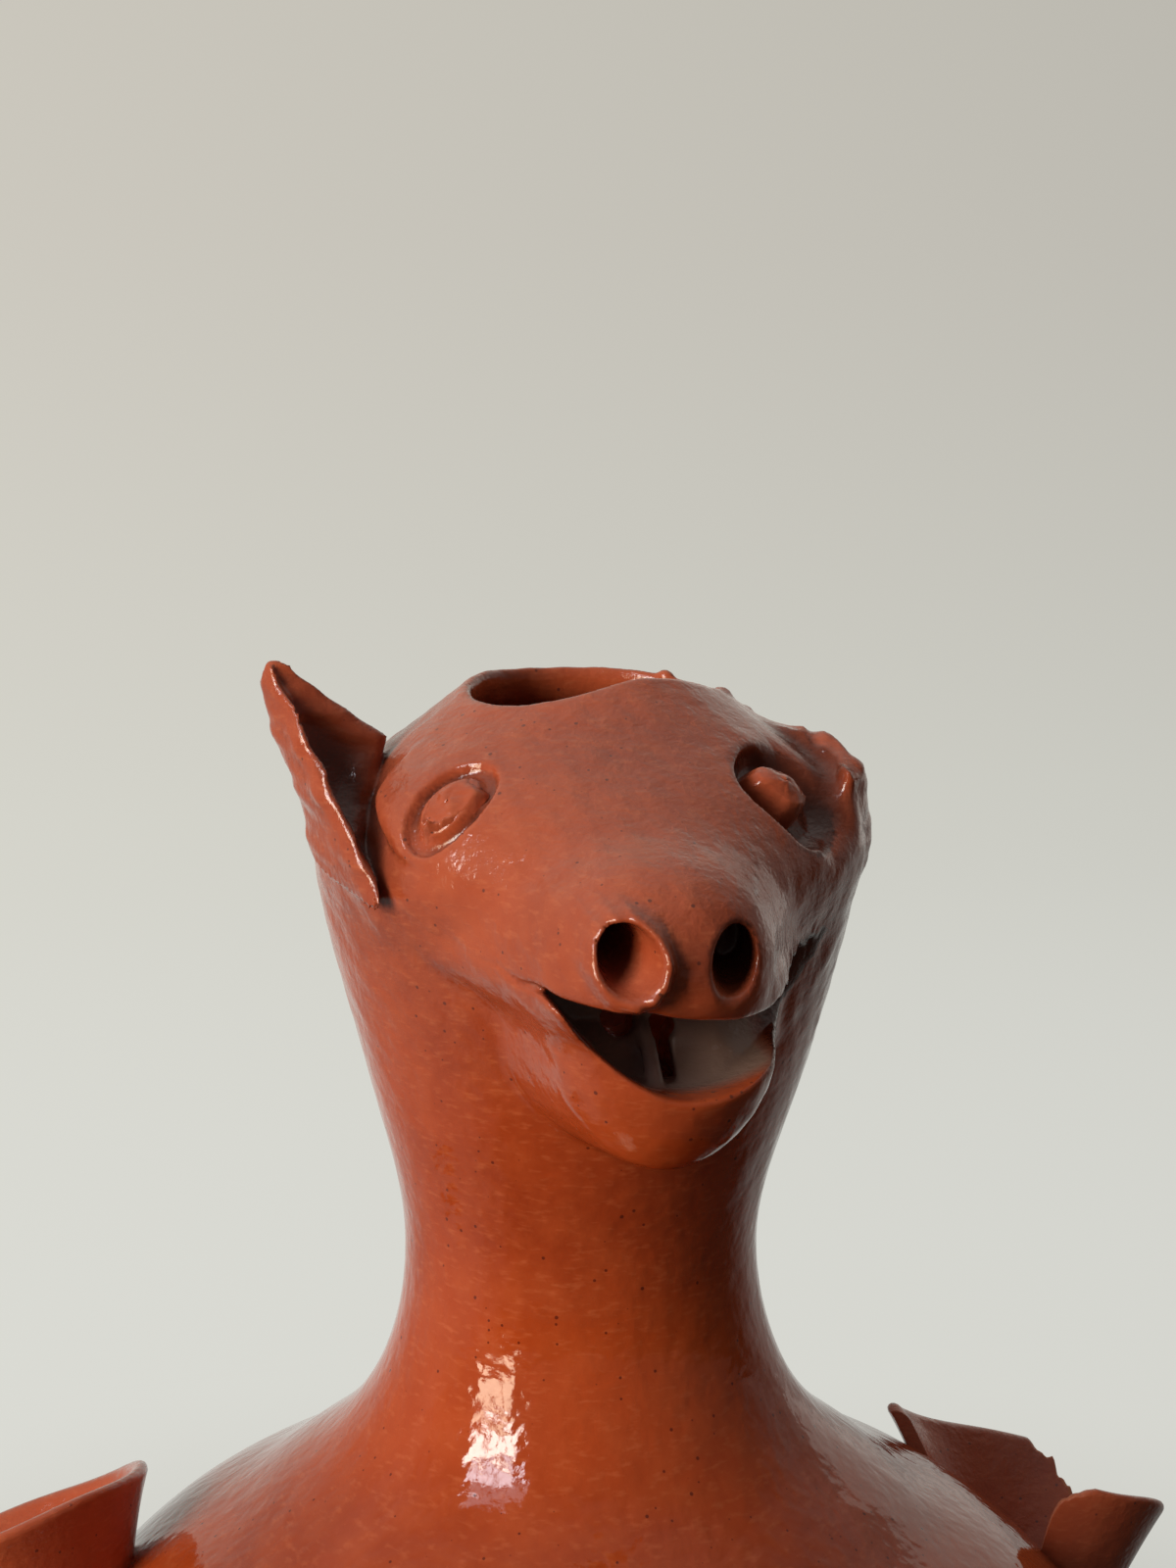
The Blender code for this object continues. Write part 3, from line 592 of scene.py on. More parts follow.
# The roll of clay along an ear's edge: its radius by side, and how far inside the edge its middle runs
EAR_ROLLS = {-1: 2.2, 1: 0.6}
EAR_ROLL_INSET = 2.2
# Where the left cheek is torn, and how far the tear reaches each way
TORN_PLACE = (27.0, -29.0, 260.0)
TORN_HALVES = (6.0, 8.0, 6.5)
# The line along which the left ear broke: places across it and their heights
BREAK_LINE = [(33.0, 288.0), (37.5, 289.3), (39.0, 286.5), (40.8, 286.7), (43.4, 284.6), (44.8, 282.5),
              (48.2, 281.6), (52.0, 279.0)]


def round_place(turn, radius, height, side):
    """A place given by its turn from the face in degrees, its distance from the axis and its height."""
    angle = math.radians(turn)
    return np.array([side * radius * math.sin(angle), -radius * math.cos(angle), height])


def by_ways(x, y, z, origin, ways):
    """A point's distances from an origin along each of some directions."""
    return [(x - origin[0]) * way[0] + (y - origin[1]) * way[1] + (z - origin[2]) * way[2] for way in ways]


def ear_places(x, y, z, side):
    """A point's place by an ear: outside its three edges, and off its bent sheet on the side of its back."""
    corners = (EAR_ROOT_FRONTS[side], EAR_ROOT_BACKS[side], EAR_TIPS[side])
    front, back, tip = (round_place(*corner, side) for corner in corners)
    width = np.linalg.norm(back - front)
    root = (back - front) / width
    lean = tip - front
    tip_across = lean @ root
    lean = lean - root * tip_across
    length = np.linalg.norm(lean)
    lean = lean / length
    away = np.cross(root, lean) * side
    across, along, off = by_ways(x, y, z, front, (root, lean, away))
    share = np.clip(along / length, 0, 0.98)
    between_edges = unit((across - share * tip_across) / (width * (1 - share)))
    off = off - EAR_BULGES[side] * np.sin(math.pi * between_edges) * (1 - share) * (0.7 + 1.2 * share)
    front_edge = (along * tip_across - across * length) / np.hypot(tip_across, length)
    back_edge = (across - width) * length + along * (width - tip_across)
    back_edge = back_edge / np.hypot(width - tip_across, length)
    nibbled = 0.5 * np.sin(0.37 * along + 1.0) * np.sin(0.71 * along)
    nibbled = nibbled + 0.08 * np.sin(1.5 * along + 0.3 * off)
    return np.maximum(-soft_join(-front_edge - nibbled, -back_edge, 3.0), -along), off


def ear(x, y, z, side):
    """A three-cornered slab with nibbled edges, cupped so that its back swells, in a lumpy roll."""
    outline, off = ear_places(x, y, z, side)
    outline_in = outline + EAR_ROUNDING
    sheet_in = np.abs(off) - EAR_THICKNESSES[side] / 2 + EAR_ROUNDING
    slab = np.hypot(np.maximum(outline_in, 0), np.maximum(sheet_in, 0)) - EAR_ROUNDING
    slab = slab + np.minimum(np.maximum(outline_in, sheet_in), 0)
    lumps = 0.25 * np.sin(0.9 * z + 0.4 * x) + 0.15 * np.sin(1.7 * z - 0.6 * y + 1.0)
    rolled = np.hypot(outline + EAR_ROLL_INSET, 0.72 * off) - EAR_ROLLS[side] - lumps
    return soft_join(slab, rolled, 1.5)


def ear_fillet(x, y, z, side):
    """How widely an ear is smoothed into the head: broadly behind it, but not in its cup or at its edge."""
    outline, off = ear_places(x, y, z, side)
    behind = unit((off + 1.5) / 3.0) * unit(-outline / 5)
    return EAR_FILLETS[side] + 8.0 * eased(behind)


def ear_pocket(x, y, z):
    """The fold before the right ear's root, pressed with a fingertip: a slot along the inside of the ear."""
    outline, off = ear_places(x, y, z, -1)
    slot = np.maximum(np.abs(off + 5.0) - 3.2, outline - 0.5)
    return np.maximum(slot, -wall - 3.5)


def broken_edge(x, y, z):
    """How far a point is above the ragged line along which the left ear broke."""
    places, heights = np.array(BREAK_LINE).T
    return (z - np.interp(0.98 * x - 0.2 * y, places, heights) - 0.25 * np.sin(2.1 * x + y)) * 0.8


def hand_marks(x, y, z):
    """Shallow dents and drags a tenth of a millimetre deep, left all over the head by fingers and a rib."""
    dents = np.sin(0.62 * x + 0.3 * z) * np.sin(0.55 * y - 0.4 * z + 1.0)
    dents = dents * np.sin(0.48 * z + 0.35 * x + 2.0)
    return 0.10 * dents + 0.02 * np.sin(1.9 * z + 0.25 * x) * np.sin(0.31 * (x - y) + 0.7)


def torn_cheek(x, y, z):
    """Upright ridges of half a millimetre on the left cheek, where the clay was dragged by a tool."""
    near = unit(1 - ellipsoid(x, y, z, TORN_PLACE, TORN_HALVES) ** 2)
    ridges = np.sin(2.2 * (x + y) + 1.2 * np.sin(0.8 * z)) * np.sin(0.5 * z + x)
    return 0.55 * near * ridges


ticks = [np.arange(low, high, LATTICE, dtype=np.float32) for low, high in zip(LATTICE_LOW, LATTICE_HIGH)]
x, y, z = np.ix_(*ticks)


def on_lattice(form, *details):
    """A form's field at every point of the lattice, in single precision."""
    return form(x, y, z, *details).astype(np.float32)


def broken_ear(x, y, z):
    """The left ear up to the line where it broke."""
    return np.maximum(ear(x, y, z, 1), broken_edge(x, y, z))


wall = on_lattice(thrown_head)
face = soft_join(on_lattice(muzzle), on_lattice(lower_jaw), 6.0)
# The face runs into the wall with a crease below the brow and in one sweep above it
blend_width = (1.0 + 9.0 * eased(unit((z - BROW_HEIGHT) / BROW_RISE))).astype(np.float32)
solid = soft_join(wall, face, blend_width)
solid = solid + on_lattice(torn_cheek) + on_lattice(hand_marks) * unit((z - 228) / 12)
left_ear = on_lattice(broken_ear)
solid = soft_cut(solid, on_lattice(ear_pocket), 3.5)
solid = soft_join(solid, on_lattice(ear, -1), on_lattice(ear_fillet, -1))
solid = soft_join(solid, left_ear, on_lattice(ear_fillet, 1))


def sampled(field, where):
    """The field at any point, mixed from the eight lattice points around it."""
    at = (where - LATTICE_LOW) / LATTICE
    low = np.clip(np.floor(at).astype(int), 0, np.array(field.shape) - 2)
    part = unit(at - low)
    value = 0
    for a in (0, 1):
        for b in (0, 1):
            for c in (0, 1):
                weight = np.abs(1 - np.array([a, b, c]) - part).prod(axis=1)
                value = value + weight * field[low[:, 0] + a, low[:, 1] + b, low[:, 2] + c]
    return value


def slope_of(field, where, reach):
    """The field's slope along the three axes, from two points a little way off along each."""
    ways = np.eye(3) * reach
    rises = [sampled(field, where + way) - sampled(field, where - way) for way in ways]
    return np.stack(rises, axis=1) / (2 * reach)


# THE EYES' SOCKETS. The right eye is a ring scratched round its pellet with a stick, the left one a pit.
EYE_TURNS = {-1: 42.0, 1: 36.5}
EYE_HEIGHTS = {-1: 282.4, 1: 282.4}
EYE_LEANS = {-1: 20.0, 1: 30.0}
RING_HALVES = (5.3, 7.5)
RING_MEAN = 6.2
RING_WIDTH = 2.6
PIT_ASIDE = 1.6
PIT_HALVES = (9.6, 10.0, 8.0)
# The clay left standing in the hollow behind the pit
BACKING_DEPTH = 3.5
BACKING_HALF = 13.0


def eye_frame(side):
    """An eye's seat on the clay at its turn and height, and its directions: across, up it and outwards."""
    turn = math.radians(EYE_TURNS[side])
    reach = np.arange(20, 64, 0.1)[:, None]
    line = reach * [side * math.sin(turn), -math.cos(turn), 0] + [HEAD_LEAN, 0, EYE_HEIGHTS[side]]
    seat = line[np.argmax(sampled(solid, line) > 0)]
    outward = normalised(slope_of(solid, seat[None], 3.0)[0])
    across = normalised(np.cross([0, 0, 1], outward))
    up = np.cross(outward, across)
    lean = math.radians(EYE_LEANS[side]) * side
    leant_across = across * math.cos(lean) + up * math.sin(lean)
    leant_up = up * math.cos(lean) - across * math.sin(lean)
    return seat, leant_across, leant_up, outward


def eye_places(x, y, z, side):
    """A point's place in an eye's frame: across it, up it and out of it."""
    seat, *ways = eye_frame(side)
    return by_ways(x, y, z, seat, ways)


def scratched_ring(x, y, z):
    """A round groove along an oval, its depth measured from the clay."""
    across, up, out = eye_places(x, y, z, -1)
    outside_ring = (np.hypot(across / RING_HALVES[0], up / RING_HALVES[1]) - 1) * RING_MEAN
    return np.maximum(np.hypot(outside_ring, solid) - RING_WIDTH / 2, np.abs(out) - 8)


def eye_pit(x, y, z):
    """An oval pit with steep sides and a flat floor, which stops short of the hollow behind it."""
    across, up, out = eye_places(x, y, z, 1)
    shape = oval(np.abs((across - PIT_ASIDE) / PIT_HALVES[0]), np.abs(up / PIT_HALVES[1]), 2.6)
    shape = oval(shape, np.abs((out - 1.0) / PIT_HALVES[2]), 2.6)
    return np.maximum((shape - 1) * PIT_HALVES[2], -wall - HEAD_WALL + 2)


# The clay as the potter left it: hollowed, opened at the crown, and cut for mouth, nostrils and eyes. The
# hollow stays clear of the left eye's pit
across, up, out = eye_places(x, y, z, 1)
backing = BACKING_DEPTH * unit(1 - ((across - PIT_ASIDE) / BACKING_HALF) ** 2 - (up / BACKING_HALF) ** 2)
clay = soft_cut(solid, (wall + HEAD_WALL + backing).astype(np.float32), 1.0)
clay = soft_cut(clay, on_lattice(filling_hole), FILLING_EDGE)
for *middle, radius in RIM_LUMPS:
    clay = soft_join(clay, (ellipsoid(x, y, z, middle, [radius] * 3) - 1) * radius, 1.2)


def knife_score(x, y, z):
    """The scratch that the knife left beyond the mouth's right corner, deepest at the corner."""
    off_line = z - 257.8 + 0.38 * (x + 17.5) - 0.4 * np.sin(1.3 * x)
    score = np.hypot(off_line, solid) - 0.12 * np.clip(x + 24, 0, 6)
    return np.maximum(np.maximum(score, x + 16), y + 30)


right_nostril = on_lattice(nostril, -1)
uneven = 0.14 * np.sin(1.4 * z + 2.0 * x)
rolled_rim = np.hypot(right_nostril, solid) - NOSTRIL_RIM - uneven
clay = soft_cut(clay, on_lattice(knife_score), 0.5)
clay = soft_cut(clay, on_lattice(mouth), 1.2)
clay = soft_join(clay, on_lattice(throat_ridge), 1.0)
clay = soft_cut(clay, on_lattice(throat_holes), 0.6)
clay = soft_join(clay, rolled_rim.astype(np.float32), 2.4)
clay = soft_cut(clay, right_nostril, 0.8)
clay = soft_cut(clay, on_lattice(nostril, 1), 1.0)
clay = soft_cut(clay, on_lattice(scratched_ring), 0.7)
# The pit's edge is sharp towards the nose and smeared out towards the ear
toward_ear = unit((across - 0.8 * up - 3) / 7)
clay = soft_cut(clay, on_lattice(eye_pit), (0.6 + 5.0 * toward_ear).astype(np.float32))
clay = soft_join(clay, left_ear, 1.0).astype(np.float32)


def skin(field, low, step):
    """Surface nets: one point in each cell the surface passes through, one quad round each edge it cuts."""
    inside_clay = field < 0
    cells = tuple(size - 1 for size in field.shape)
    corner = [(a, b, c) for a in (0, 1) for b in (0, 1) for c in (0, 1)]
    filled = sum(inside_clay[a:a + cells[0], b:b + cells[1], c:c + cells[2]].astype(np.int8)
                 for a, b, c in corner)
    place = np.argwhere((filled > 0) & (filled < 8))
    number = np.full(cells, -1, np.int32)
    number[tuple(place.T)] = np.arange(len(place))
    total = np.zeros((len(place), 3))
    count = np.zeros(len(place))
    for axis in range(3):
        way = np.eye(3, dtype=int)[axis]
        for start in corner:
            if start[axis]:
                continue
            near = field[tuple((place + start).T)]
            far = field[tuple((place + start + way).T)]
            cut = (near < 0) != (far < 0)
            share = np.where(cut, near / np.where(cut, near - far, 1), 0)
            total += cut[:, None] * (np.array(start) + share[:, None] * way)
            count += cut
    skin_points = (place + total / count[:, None]) * step + low
    quads = []
    for axis in range(3):
        one, two = [other for other in range(3) if other != axis]
        if axis == 1:
            one, two = two, one
        near = np.take(inside_clay, range(inside_clay.shape[axis] - 1), axis)
        far = np.take(inside_clay, range(1, inside_clay.shape[axis]), axis)
        edge = np.argwhere(near != far)
        edge = edge[(edge[:, one] > 0) & (edge[:, two] > 0)]
        edge = edge[(edge[:, one] < cells[one]) & (edge[:, two] < cells[two])]
        back_one, back_two = np.eye(3, dtype=int)[one], np.eye(3, dtype=int)[two]
        around = [edge - back_one - back_two, edge - back_two, edge, edge - back_one]
        quad = np.stack([number[tuple(cell.T)] for cell in around], axis=1)
        outward = near[tuple(edge.T)]
        quads.append(np.where(outward[:, None], quad, quad[:, ::-1]))
    return skin_points, np.concatenate(quads)


def settled(points, level=False):
    """Points drawn along the field's slope, or only across its level part, until they lie on the clay."""
    slope = slope_of(clay, points, 0.4) * [1, 1, 0 if level else 1]
    reach = sampled(clay, points) / np.maximum((slope ** 2).sum(axis=1), 0.2)
    return points - np.clip(reach, -0.3, 0.3)[:, None] * slope


skin_points, skin_quads = skin(clay, LATTICE_LOW, LATTICE)
for step in range(2):
    skin_points = settled(skin_points)
# A crease is where the clay around a point stands higher than the point, by the field's second slope
CREASE_REACH = 1.3
ways = np.concatenate([np.eye(3), -np.eye(3)]) * CREASE_REACH
around = sum(sampled(clay, skin_points + way) for way in ways)
hollow = (len(ways) * sampled(clay, skin_points) - around) / CREASE_REACH ** 2
skin_crease_and_shade = unit(hollow / 0.8 - 0.3)

# The skin below the throat belongs to the neck; its edge is drawn to the ring where the neck ends
is_low = skin_points[:, 2] < THROAT_HEIGHT
skin_quads = skin_quads[~is_low[skin_quads].all(axis=1)]
edge_points = np.unique(skin_quads[is_low[skin_quads]])
skin_points[edge_points, 2] = THROAT_HEIGHT
for step in range(4):
    skin_points[edge_points] = settled(skin_points[edge_points], level=True)
skin_normals = normalised(slope_of(clay, skin_points, 0.5))

# Dust lies on what faces up, and the glaze of the head is worn
px, py, pz = skin_points.T
dusty = unit(1.4 * skin_normals[:, 2])
skin_dust_and_painted_light = unit((pz - 230) / 32) * (0.55 + 0.45 * dusty)
# The inside of the mouth is painted pale, partly as dust and partly as painted light for the little light
# the shaded mouth gets; its creases are kept light, and its right corner is painted dark as shade
deep = (mouth(px, py, pz) < 1.2) * unit((58 + py) / 6) * (thrown_head(px, py, pz) > -6)
corner = deep * unit((px - 18) / 3)
skin_dust_and_painted_light = np.maximum(skin_dust_and_painted_light, 5.5 * (deep - corner))
skin_crease_and_shade = np.maximum(skin_crease_and_shade * (1 - 0.9 * deep), corner)
# Painted shade darkens the left eye's pit, the cups of the ears and the nostrils, hollows that the light
# does not reach
across, up, out = eye_places(px, py, pz, 1)
pit_shade = (np.hypot((across - 2) / 12, up / 11.5) < 1) * unit((-0.8 - out) / 2.5) * (out > -12)
ear_cup_shade = 0
nostril_shade = 0
for side, nostril_darkness in ((-1, 0.6), (1, 0.9)):
    outline, off = ear_places(px, py, pz, side)
    cupped = unit((3 - outline) / 6) * unit((-0.8 - off) / 0.8) * unit((9 + off) / 3)
    ear_cup_shade = ear_cup_shade + cupped * unit((299 - pz) / 12) * unit((pz - 264) / 6)
    nostril_shade = nostril_shade + nostril_darkness * (np.abs(nostril(px, py, pz, side)) < 0.8)
nostril_shade = nostril_shade * unit((MUZZLE_REACH - 2.5 + py) / 4) * (thrown_head(px, py, pz) > 2)
# On the muzzle's left flank the dust is rubbed off in a few spots
spots = np.exp(-((pz - 273 - 1.2 * px + 18) / 1.1) ** 2 - ((pz - 273) / 2.4) ** 2) * (px > 8) * (py < -30)
spots = unit(2 * spots * (1 + 0.6 * np.sin(3 * pz + 2 * px)) - 0.5)
skin_dust_and_painted_light = skin_dust_and_painted_light * (1 - spots)
for dark in (0.45 * spots, nostril_shade, 0.9 * pit_shade, 0.85 * unit(ear_cup_shade)):
    skin_crease_and_shade = np.maximum(skin_crease_and_shade, dark)

# Each face goes to the form that it lies nearest to; the mouth's roof and floor go to the muzzle and jaw
centre = skin_points[skin_quads].mean(axis=1)
cx, cy, cz = centre.T
forms = np.stack([thrown_head(cx, cy, cz), muzzle(cx, cy, cz), lower_jaw(cx, cy, cz), ear(cx, cy, cz, -1),
                  broken_ear(cx, cy, cz)])
owner = np.argmin(forms, axis=0)
lower, upper = lip_lines(cx)
in_mouth = (np.abs(mouth(cx, cy, cz)) < 0.6) & (cz > 235)
owner = np.where(in_mouth, np.where(cz > (lower + upper) / 2, 1, 2), owner)
# The skin of the hollow is a piece of its own
SKIN_PIECES = [("head_thrown", "head"), ("muzzle_modelled", "muzzle"), ("lower_jaw_modelled", "lower_jaw"),
               ("right_ear_pressed", "right_ear"), ("left_ear_broken", "left_ear"), ("head_hollow", "head")]
owner = np.where(forms[0] < -3, len(SKIN_PIECES) - 1, owner)
for index, (name, node) in enumerate(SKIN_PIECES):
    quads = skin_quads[owner == index]
    used, local = np.unique(quads, return_inverse=True)
    add_piece(name, node, skin_points[used], [local.reshape(-1, 4)], skin_normals[used],
              {"crease": skin_crease_and_shade[used], "dull": skin_dust_and_painted_light[used]})


# THE EYES. Pellets of clay pressed into their places with a thumb, so that their edges are torn and lumpy.
# The right one lies flush in its ring; the left one stands at the bottom of its pit.
PELLET_TURNS = 72
PELLET_ROWS = 30


def on_clay(place, outward):
    """Points moved along one direction until they lie on the clay."""
    for step in range(8):
        place = place - np.clip(sampled(solid, place), -2, 2)[:, None] * outward
    return place


def eye_pellet(name, node, side, half_width, half_height, shift, rise, fullness, torn, skirt, sunk):
    """A flat-topped dome laid over the clay on an oval, with one edge torn up and the rest tucked under."""
    seat, across, up, outward = eye_frame(side)
    turn = full_turn(PELLET_TURNS)[None, :]
    share = np.linspace(0.03, 1.06, PELLET_ROWS)[:, None]
    lump = 1 + 0.07 * np.sin(3 * turn + 1 + side) + 0.04 * np.sin(5 * turn + 2 * side)
    lump = lump + 0.02 * np.sin(11 * turn)
    aside = share * lump * np.cos(turn) * half_width + shift[0]
    upward = share * lump * np.sin(turn) * half_height + shift[1]
    flat = seat + aside[..., None] * across + upward[..., None] * up
    ground = on_clay(flat.reshape(-1, 3), outward).reshape(flat.shape)
    edge = (turn + math.radians(75) + math.pi) % (2 * math.pi) - math.pi
    ragged = 1 + 0.5 * np.sin(9 * turn + 1) + 0.3 * np.sin(23 * turn)
    tear = torn * ragged * np.exp(-(edge / 0.75) ** 2) * np.exp(-((share - 0.84) / 0.09) ** 2)
    dome = rise * (1 - share ** fullness) - skirt * np.clip((share - 0.72) / 0.34, 0, None) ** 2
    lumps = 0.12 * np.sin(4 * turn + 6 * share) * share + 0.1 * np.sin(7 * share + 2 * turn)
    points = ground + (dome - sunk + lumps + tear)[..., None] * outward
    normals = grid_normals(points)
    top = points[0].mean(axis=0)
    vertices = np.concatenate([points.reshape(-1, 3), [top]])
    fan = pole_faces(np.arange(PELLET_TURNS), len(vertices) - 1, False)
    add_piece(name, node, vertices, [grid_faces(PELLET_ROWS, PELLET_TURNS), fan],
              np.concatenate([normals.reshape(-1, 3), [outward]]), {"dull": np.full(len(vertices), 0.8)})


eye_pellet("right_eye_pellet", "right_eye", -1, 4.1, 6.0, (0.2, 0.2), 0.5, 4.0, 1.2, 1.4, 0.0)
eye_pellet("left_eye_pellet", "left_eye", 1, 4.2, 5.8, (1.6, 1.6), 1.8, 2.0, 0.6, 6.0, 0.96)


# THE CUPS. Two horns of rolled clay luted to the shoulders, open at the top, leaning out and back. The
# right one keeps its rim. Of the left one the front has broken away, and the clay shows in the breaks.
CUP_RIM_RADIUS = 27.0
CUP_TAPER = math.radians(19)
CUP_DEPTH = 42.0
CUP_FLARE = 3.2
CUP_WALL = 3.4
CUP_OUTWARD_LEAN = math.radians(17)
CUP_BACKWARD_LEAN = math.radians(20)
CUP_OUTSET = 99.0
CUP_SETBACK = 22.0
CUP_RIM_HEIGHT = 143.5
CUP_TURNS = 288
CUP_ROWS = 40
WHOLE_RIM = [(0, 0, 0), (180, 0, 0)]
# The left cup's edge, by degrees from its outer side over the back: how far it dropped, and how bare it is
BROKEN_RIM = [(0, 9, 0), (24, 10, 0), (38, 11.5, 1), (46, 10.5, 1), (50, 6.5, 1), (57, 5.5, 1), (61, 2, 1),
              (68, 1, 1), (74, 0.2, 0), (140, 0, 0), (160, 0.4, 0), (165, 1.5, 0.5), (169, 24, 0.5),
              (200, 31, 1), (242, 27, 1), (247, 14, 1), (252, 9.6, 1), (266, 8, 0), (320, 8, 0),
              (345, 8.6, 0)]


def cup(name, node, side, rim_line, moved, inner_flare):
    """A cone of two skins: a profile up the outside, over the rim and down the inside, round its axis."""
    turn = full_turn(CUP_TURNS)[None, :]
    degrees, drops, bareness = np.array(rim_line, float).T
    fall = np.interp(np.degrees(turn), degrees, drops, period=360)
    broken = np.interp(np.degrees(turn), degrees, bareness, period=360)
    fall = fall + broken * (0.35 * np.sin(23 * turn) + 0.3 * np.sin(57 * turn + 1))
    rise = np.linspace(0, 1, CUP_ROWS)[:, None]
    top = -fall
    outer_height = -CUP_DEPTH + rise * (top + CUP_DEPTH)
    lip_turn = np.linspace(0, math.pi, 9)[1:-1, None]
    lip_height = top + np.sin(lip_turn) * CUP_WALL / 2 * (1 - 0.75 * broken)
    lip_out = -CUP_WALL / 2 * (1 - np.cos(lip_turn))
    height = np.concatenate([outer_height, lip_height, outer_height[::-1]])
    inset = np.concatenate([0 * outer_height, lip_out + 0 * turn, 0 * outer_height - CUP_WALL])
    toward_neck = unit(np.cos(turn - math.radians(165)))
    flare = inner_flare * toward_neck ** 2 * unit(1 + height / 30)
    radius = CUP_RIM_RADIUS + height * math.tan(CUP_TAPER) + inset + flare
    radius = radius - CUP_FLARE * (1 - np.exp(np.minimum(height, 0) / 10))
    radius = radius * (1 + 0.012 * np.sin(2 * turn + side) + 0.006 * np.sin(3 * turn))
    local = np.stack([radius * np.cos(turn), radius * np.sin(turn), height], axis=2)
    local[..., 2] += 0.5 * np.sin(2 * turn + 1) + 0.3 * np.sin(5 * turn)
    lean = Matrix.Rotation(side * CUP_OUTWARD_LEAN, 3, "Y") @ Matrix.Rotation(-CUP_BACKWARD_LEAN, 3, "X")
    seat = np.array([side * CUP_OUTSET, CUP_SETBACK, CUP_RIM_HEIGHT]) + moved
    place = local @ np.array(lean).T + seat
    bare = np.zeros(height.shape)
    bare[CUP_ROWS:-CUP_ROWS] = broken
    add_piece(name, node, place, [grid_faces(len(height), CUP_TURNS, rings=True)], grid_normals(place),
              {"bare": bare, "dull": np.full(bare.shape, 0.7)})


cup("right_cup_rolled", "right_cup", -1, WHOLE_RIM, np.array([-1.5, 0, 2.5]), 0.0)
cup("left_cup_broken", "left_cup", 1, BROKEN_RIM, np.zeros(3), 5.5)


# THE HANDLE. A strap of clay pulled by hand and bent from the back of the head down to the shoulder, its
# two ends pressed on with the thumb.
HANDLE_HALF_WIDTH = 12.0
HANDLE_HALF_THICKNESS = 5.75
HANDLE_ROWS = 140
HANDLE_TURNS = 48
# Places on the strap's middle line, back from the axis and up: head, crown, outermost point and shoulder
HANDLE_PLACES = [(42.8, 265.0), (68.4, 274.3), (86.0, 218.3), (78.0, 138.0)]


def handle_path(share):
    """The strap's middle line: a spline through its places, by their distances along the strap."""
    places = np.array(HANDLE_PLACES)
    along = distances_along(places)
    along = along / along[-1]
    return spline(along, places[:, 0], share), spline(along, places[:, 1], share)


share = np.linspace(0, 1, HANDLE_ROWS)
back, height = handle_path(share)
path = np.stack([0 * share, back, height], axis=1)
tangent = normalised(np.gradient(path, axis=0))
sideways = np.array([1.0, 0, 0])
outward = np.cross(tangent, sideways)
spread = 1 + 0.55 * np.exp(-share / 0.05) + 0.6 * np.exp(-(1 - share) / 0.05)
turn = full_turn(HANDLE_TURNS)
wide = np.sign(np.cos(turn)) * np.abs(np.cos(turn)) ** 0.75
deep = np.sign(np.sin(turn)) * np.abs(np.sin(turn)) ** 0.9
half_width = (HANDLE_HALF_WIDTH * spread * (1 - 0.06 * np.sin(math.pi * share)))[:, None]
half_depth = (HANDLE_HALF_THICKNESS * (1 + 0.4 * (spread - 1)))[:, None]
dent = 1 - 0.12 * np.exp(-(np.cos(turn) / 0.35) ** 2)
strap = path[:, None] + (half_width * wide)[..., None] * sideways
strap = strap + (half_depth * deep * dent)[..., None] * outward[:, None]
ends = np.concatenate([strap.reshape(-1, 3), path[[0, -1]]])
end_normals = np.concatenate([-grid_normals(strap).reshape(-1, 3), [-tangent[0], tangent[-1]]])
ring = np.arange(HANDLE_TURNS)
caps = np.concatenate([pole_faces(ring, len(ends) - 2, True),
                       pole_faces(ring + (HANDLE_ROWS - 1) * HANDLE_TURNS, len(ends) - 1, False)])
strap_faces = grid_faces(HANDLE_ROWS, HANDLE_TURNS)[:, ::-1]
add_piece("handle_pulled", "handle", ends, [strap_faces, caps], end_normals, {})


# THE STUDIO. A pale sheet that runs from the floor up behind the jug in one curve, a tall window on the
# left, and a dim room in front and on the right.
WALL_BACK = 2.2
COVE_RADIUS = 0.9
SHEET_HALF_WIDTH = 6.0
SHEET_TOP = 2.6
ROOM_COLOUR = "4A4540"
SHEET_SHADE = "ECEDEE"
ROOM_PALE = "D2D0C8"
ROOM_LIGHT = "F2EEE8"
# The sheet's tints from near to far along it: painted shade that darkens the sheet up the wall
SHEET_COLOURS = {0.0: "DCDCD5", 0.30: "D6D5CC", 0.55: "CDC9BF", 1.0: "C3BFB3"}


def backdrop(material):
    """A sheet: flat floor, a quarter round of the cove's radius, and an upright wall."""
    floor = np.linspace(-6.0, WALL_BACK - COVE_RADIUS, 30)
    bend = np.linspace(0, math.pi / 2, 24)[1:]
    rise = np.linspace(COVE_RADIUS, SHEET_TOP, 12)[1:]
    y = np.concatenate([floor, WALL_BACK - COVE_RADIUS + COVE_RADIUS * np.sin(bend), 0 * rise + WALL_BACK])
    z = np.concatenate([0 * floor, COVE_RADIUS - COVE_RADIUS * np.cos(bend), rise])
    x = np.linspace(-SHEET_HALF_WIDTH, SHEET_HALF_WIDTH, 121)
    points = np.stack(np.broadcast_arrays(x[None, :], y[:, None], z[:, None]), axis=2)
    along = distances_along(np.stack([y, z], axis=1))
    far = unit((along - along[len(floor)] + 0.75) / 3.2)
    marks = {"sheet_rise": np.repeat(far, len(x)), "sheet_aside": unit((points[..., 0] + 0.3) / 1.5)}
    faces = grid_faces(len(y), len(x), turns=False)
    sheet = add_object("backdrop_sheet", points.reshape(-1, 3), [faces], marks, material)


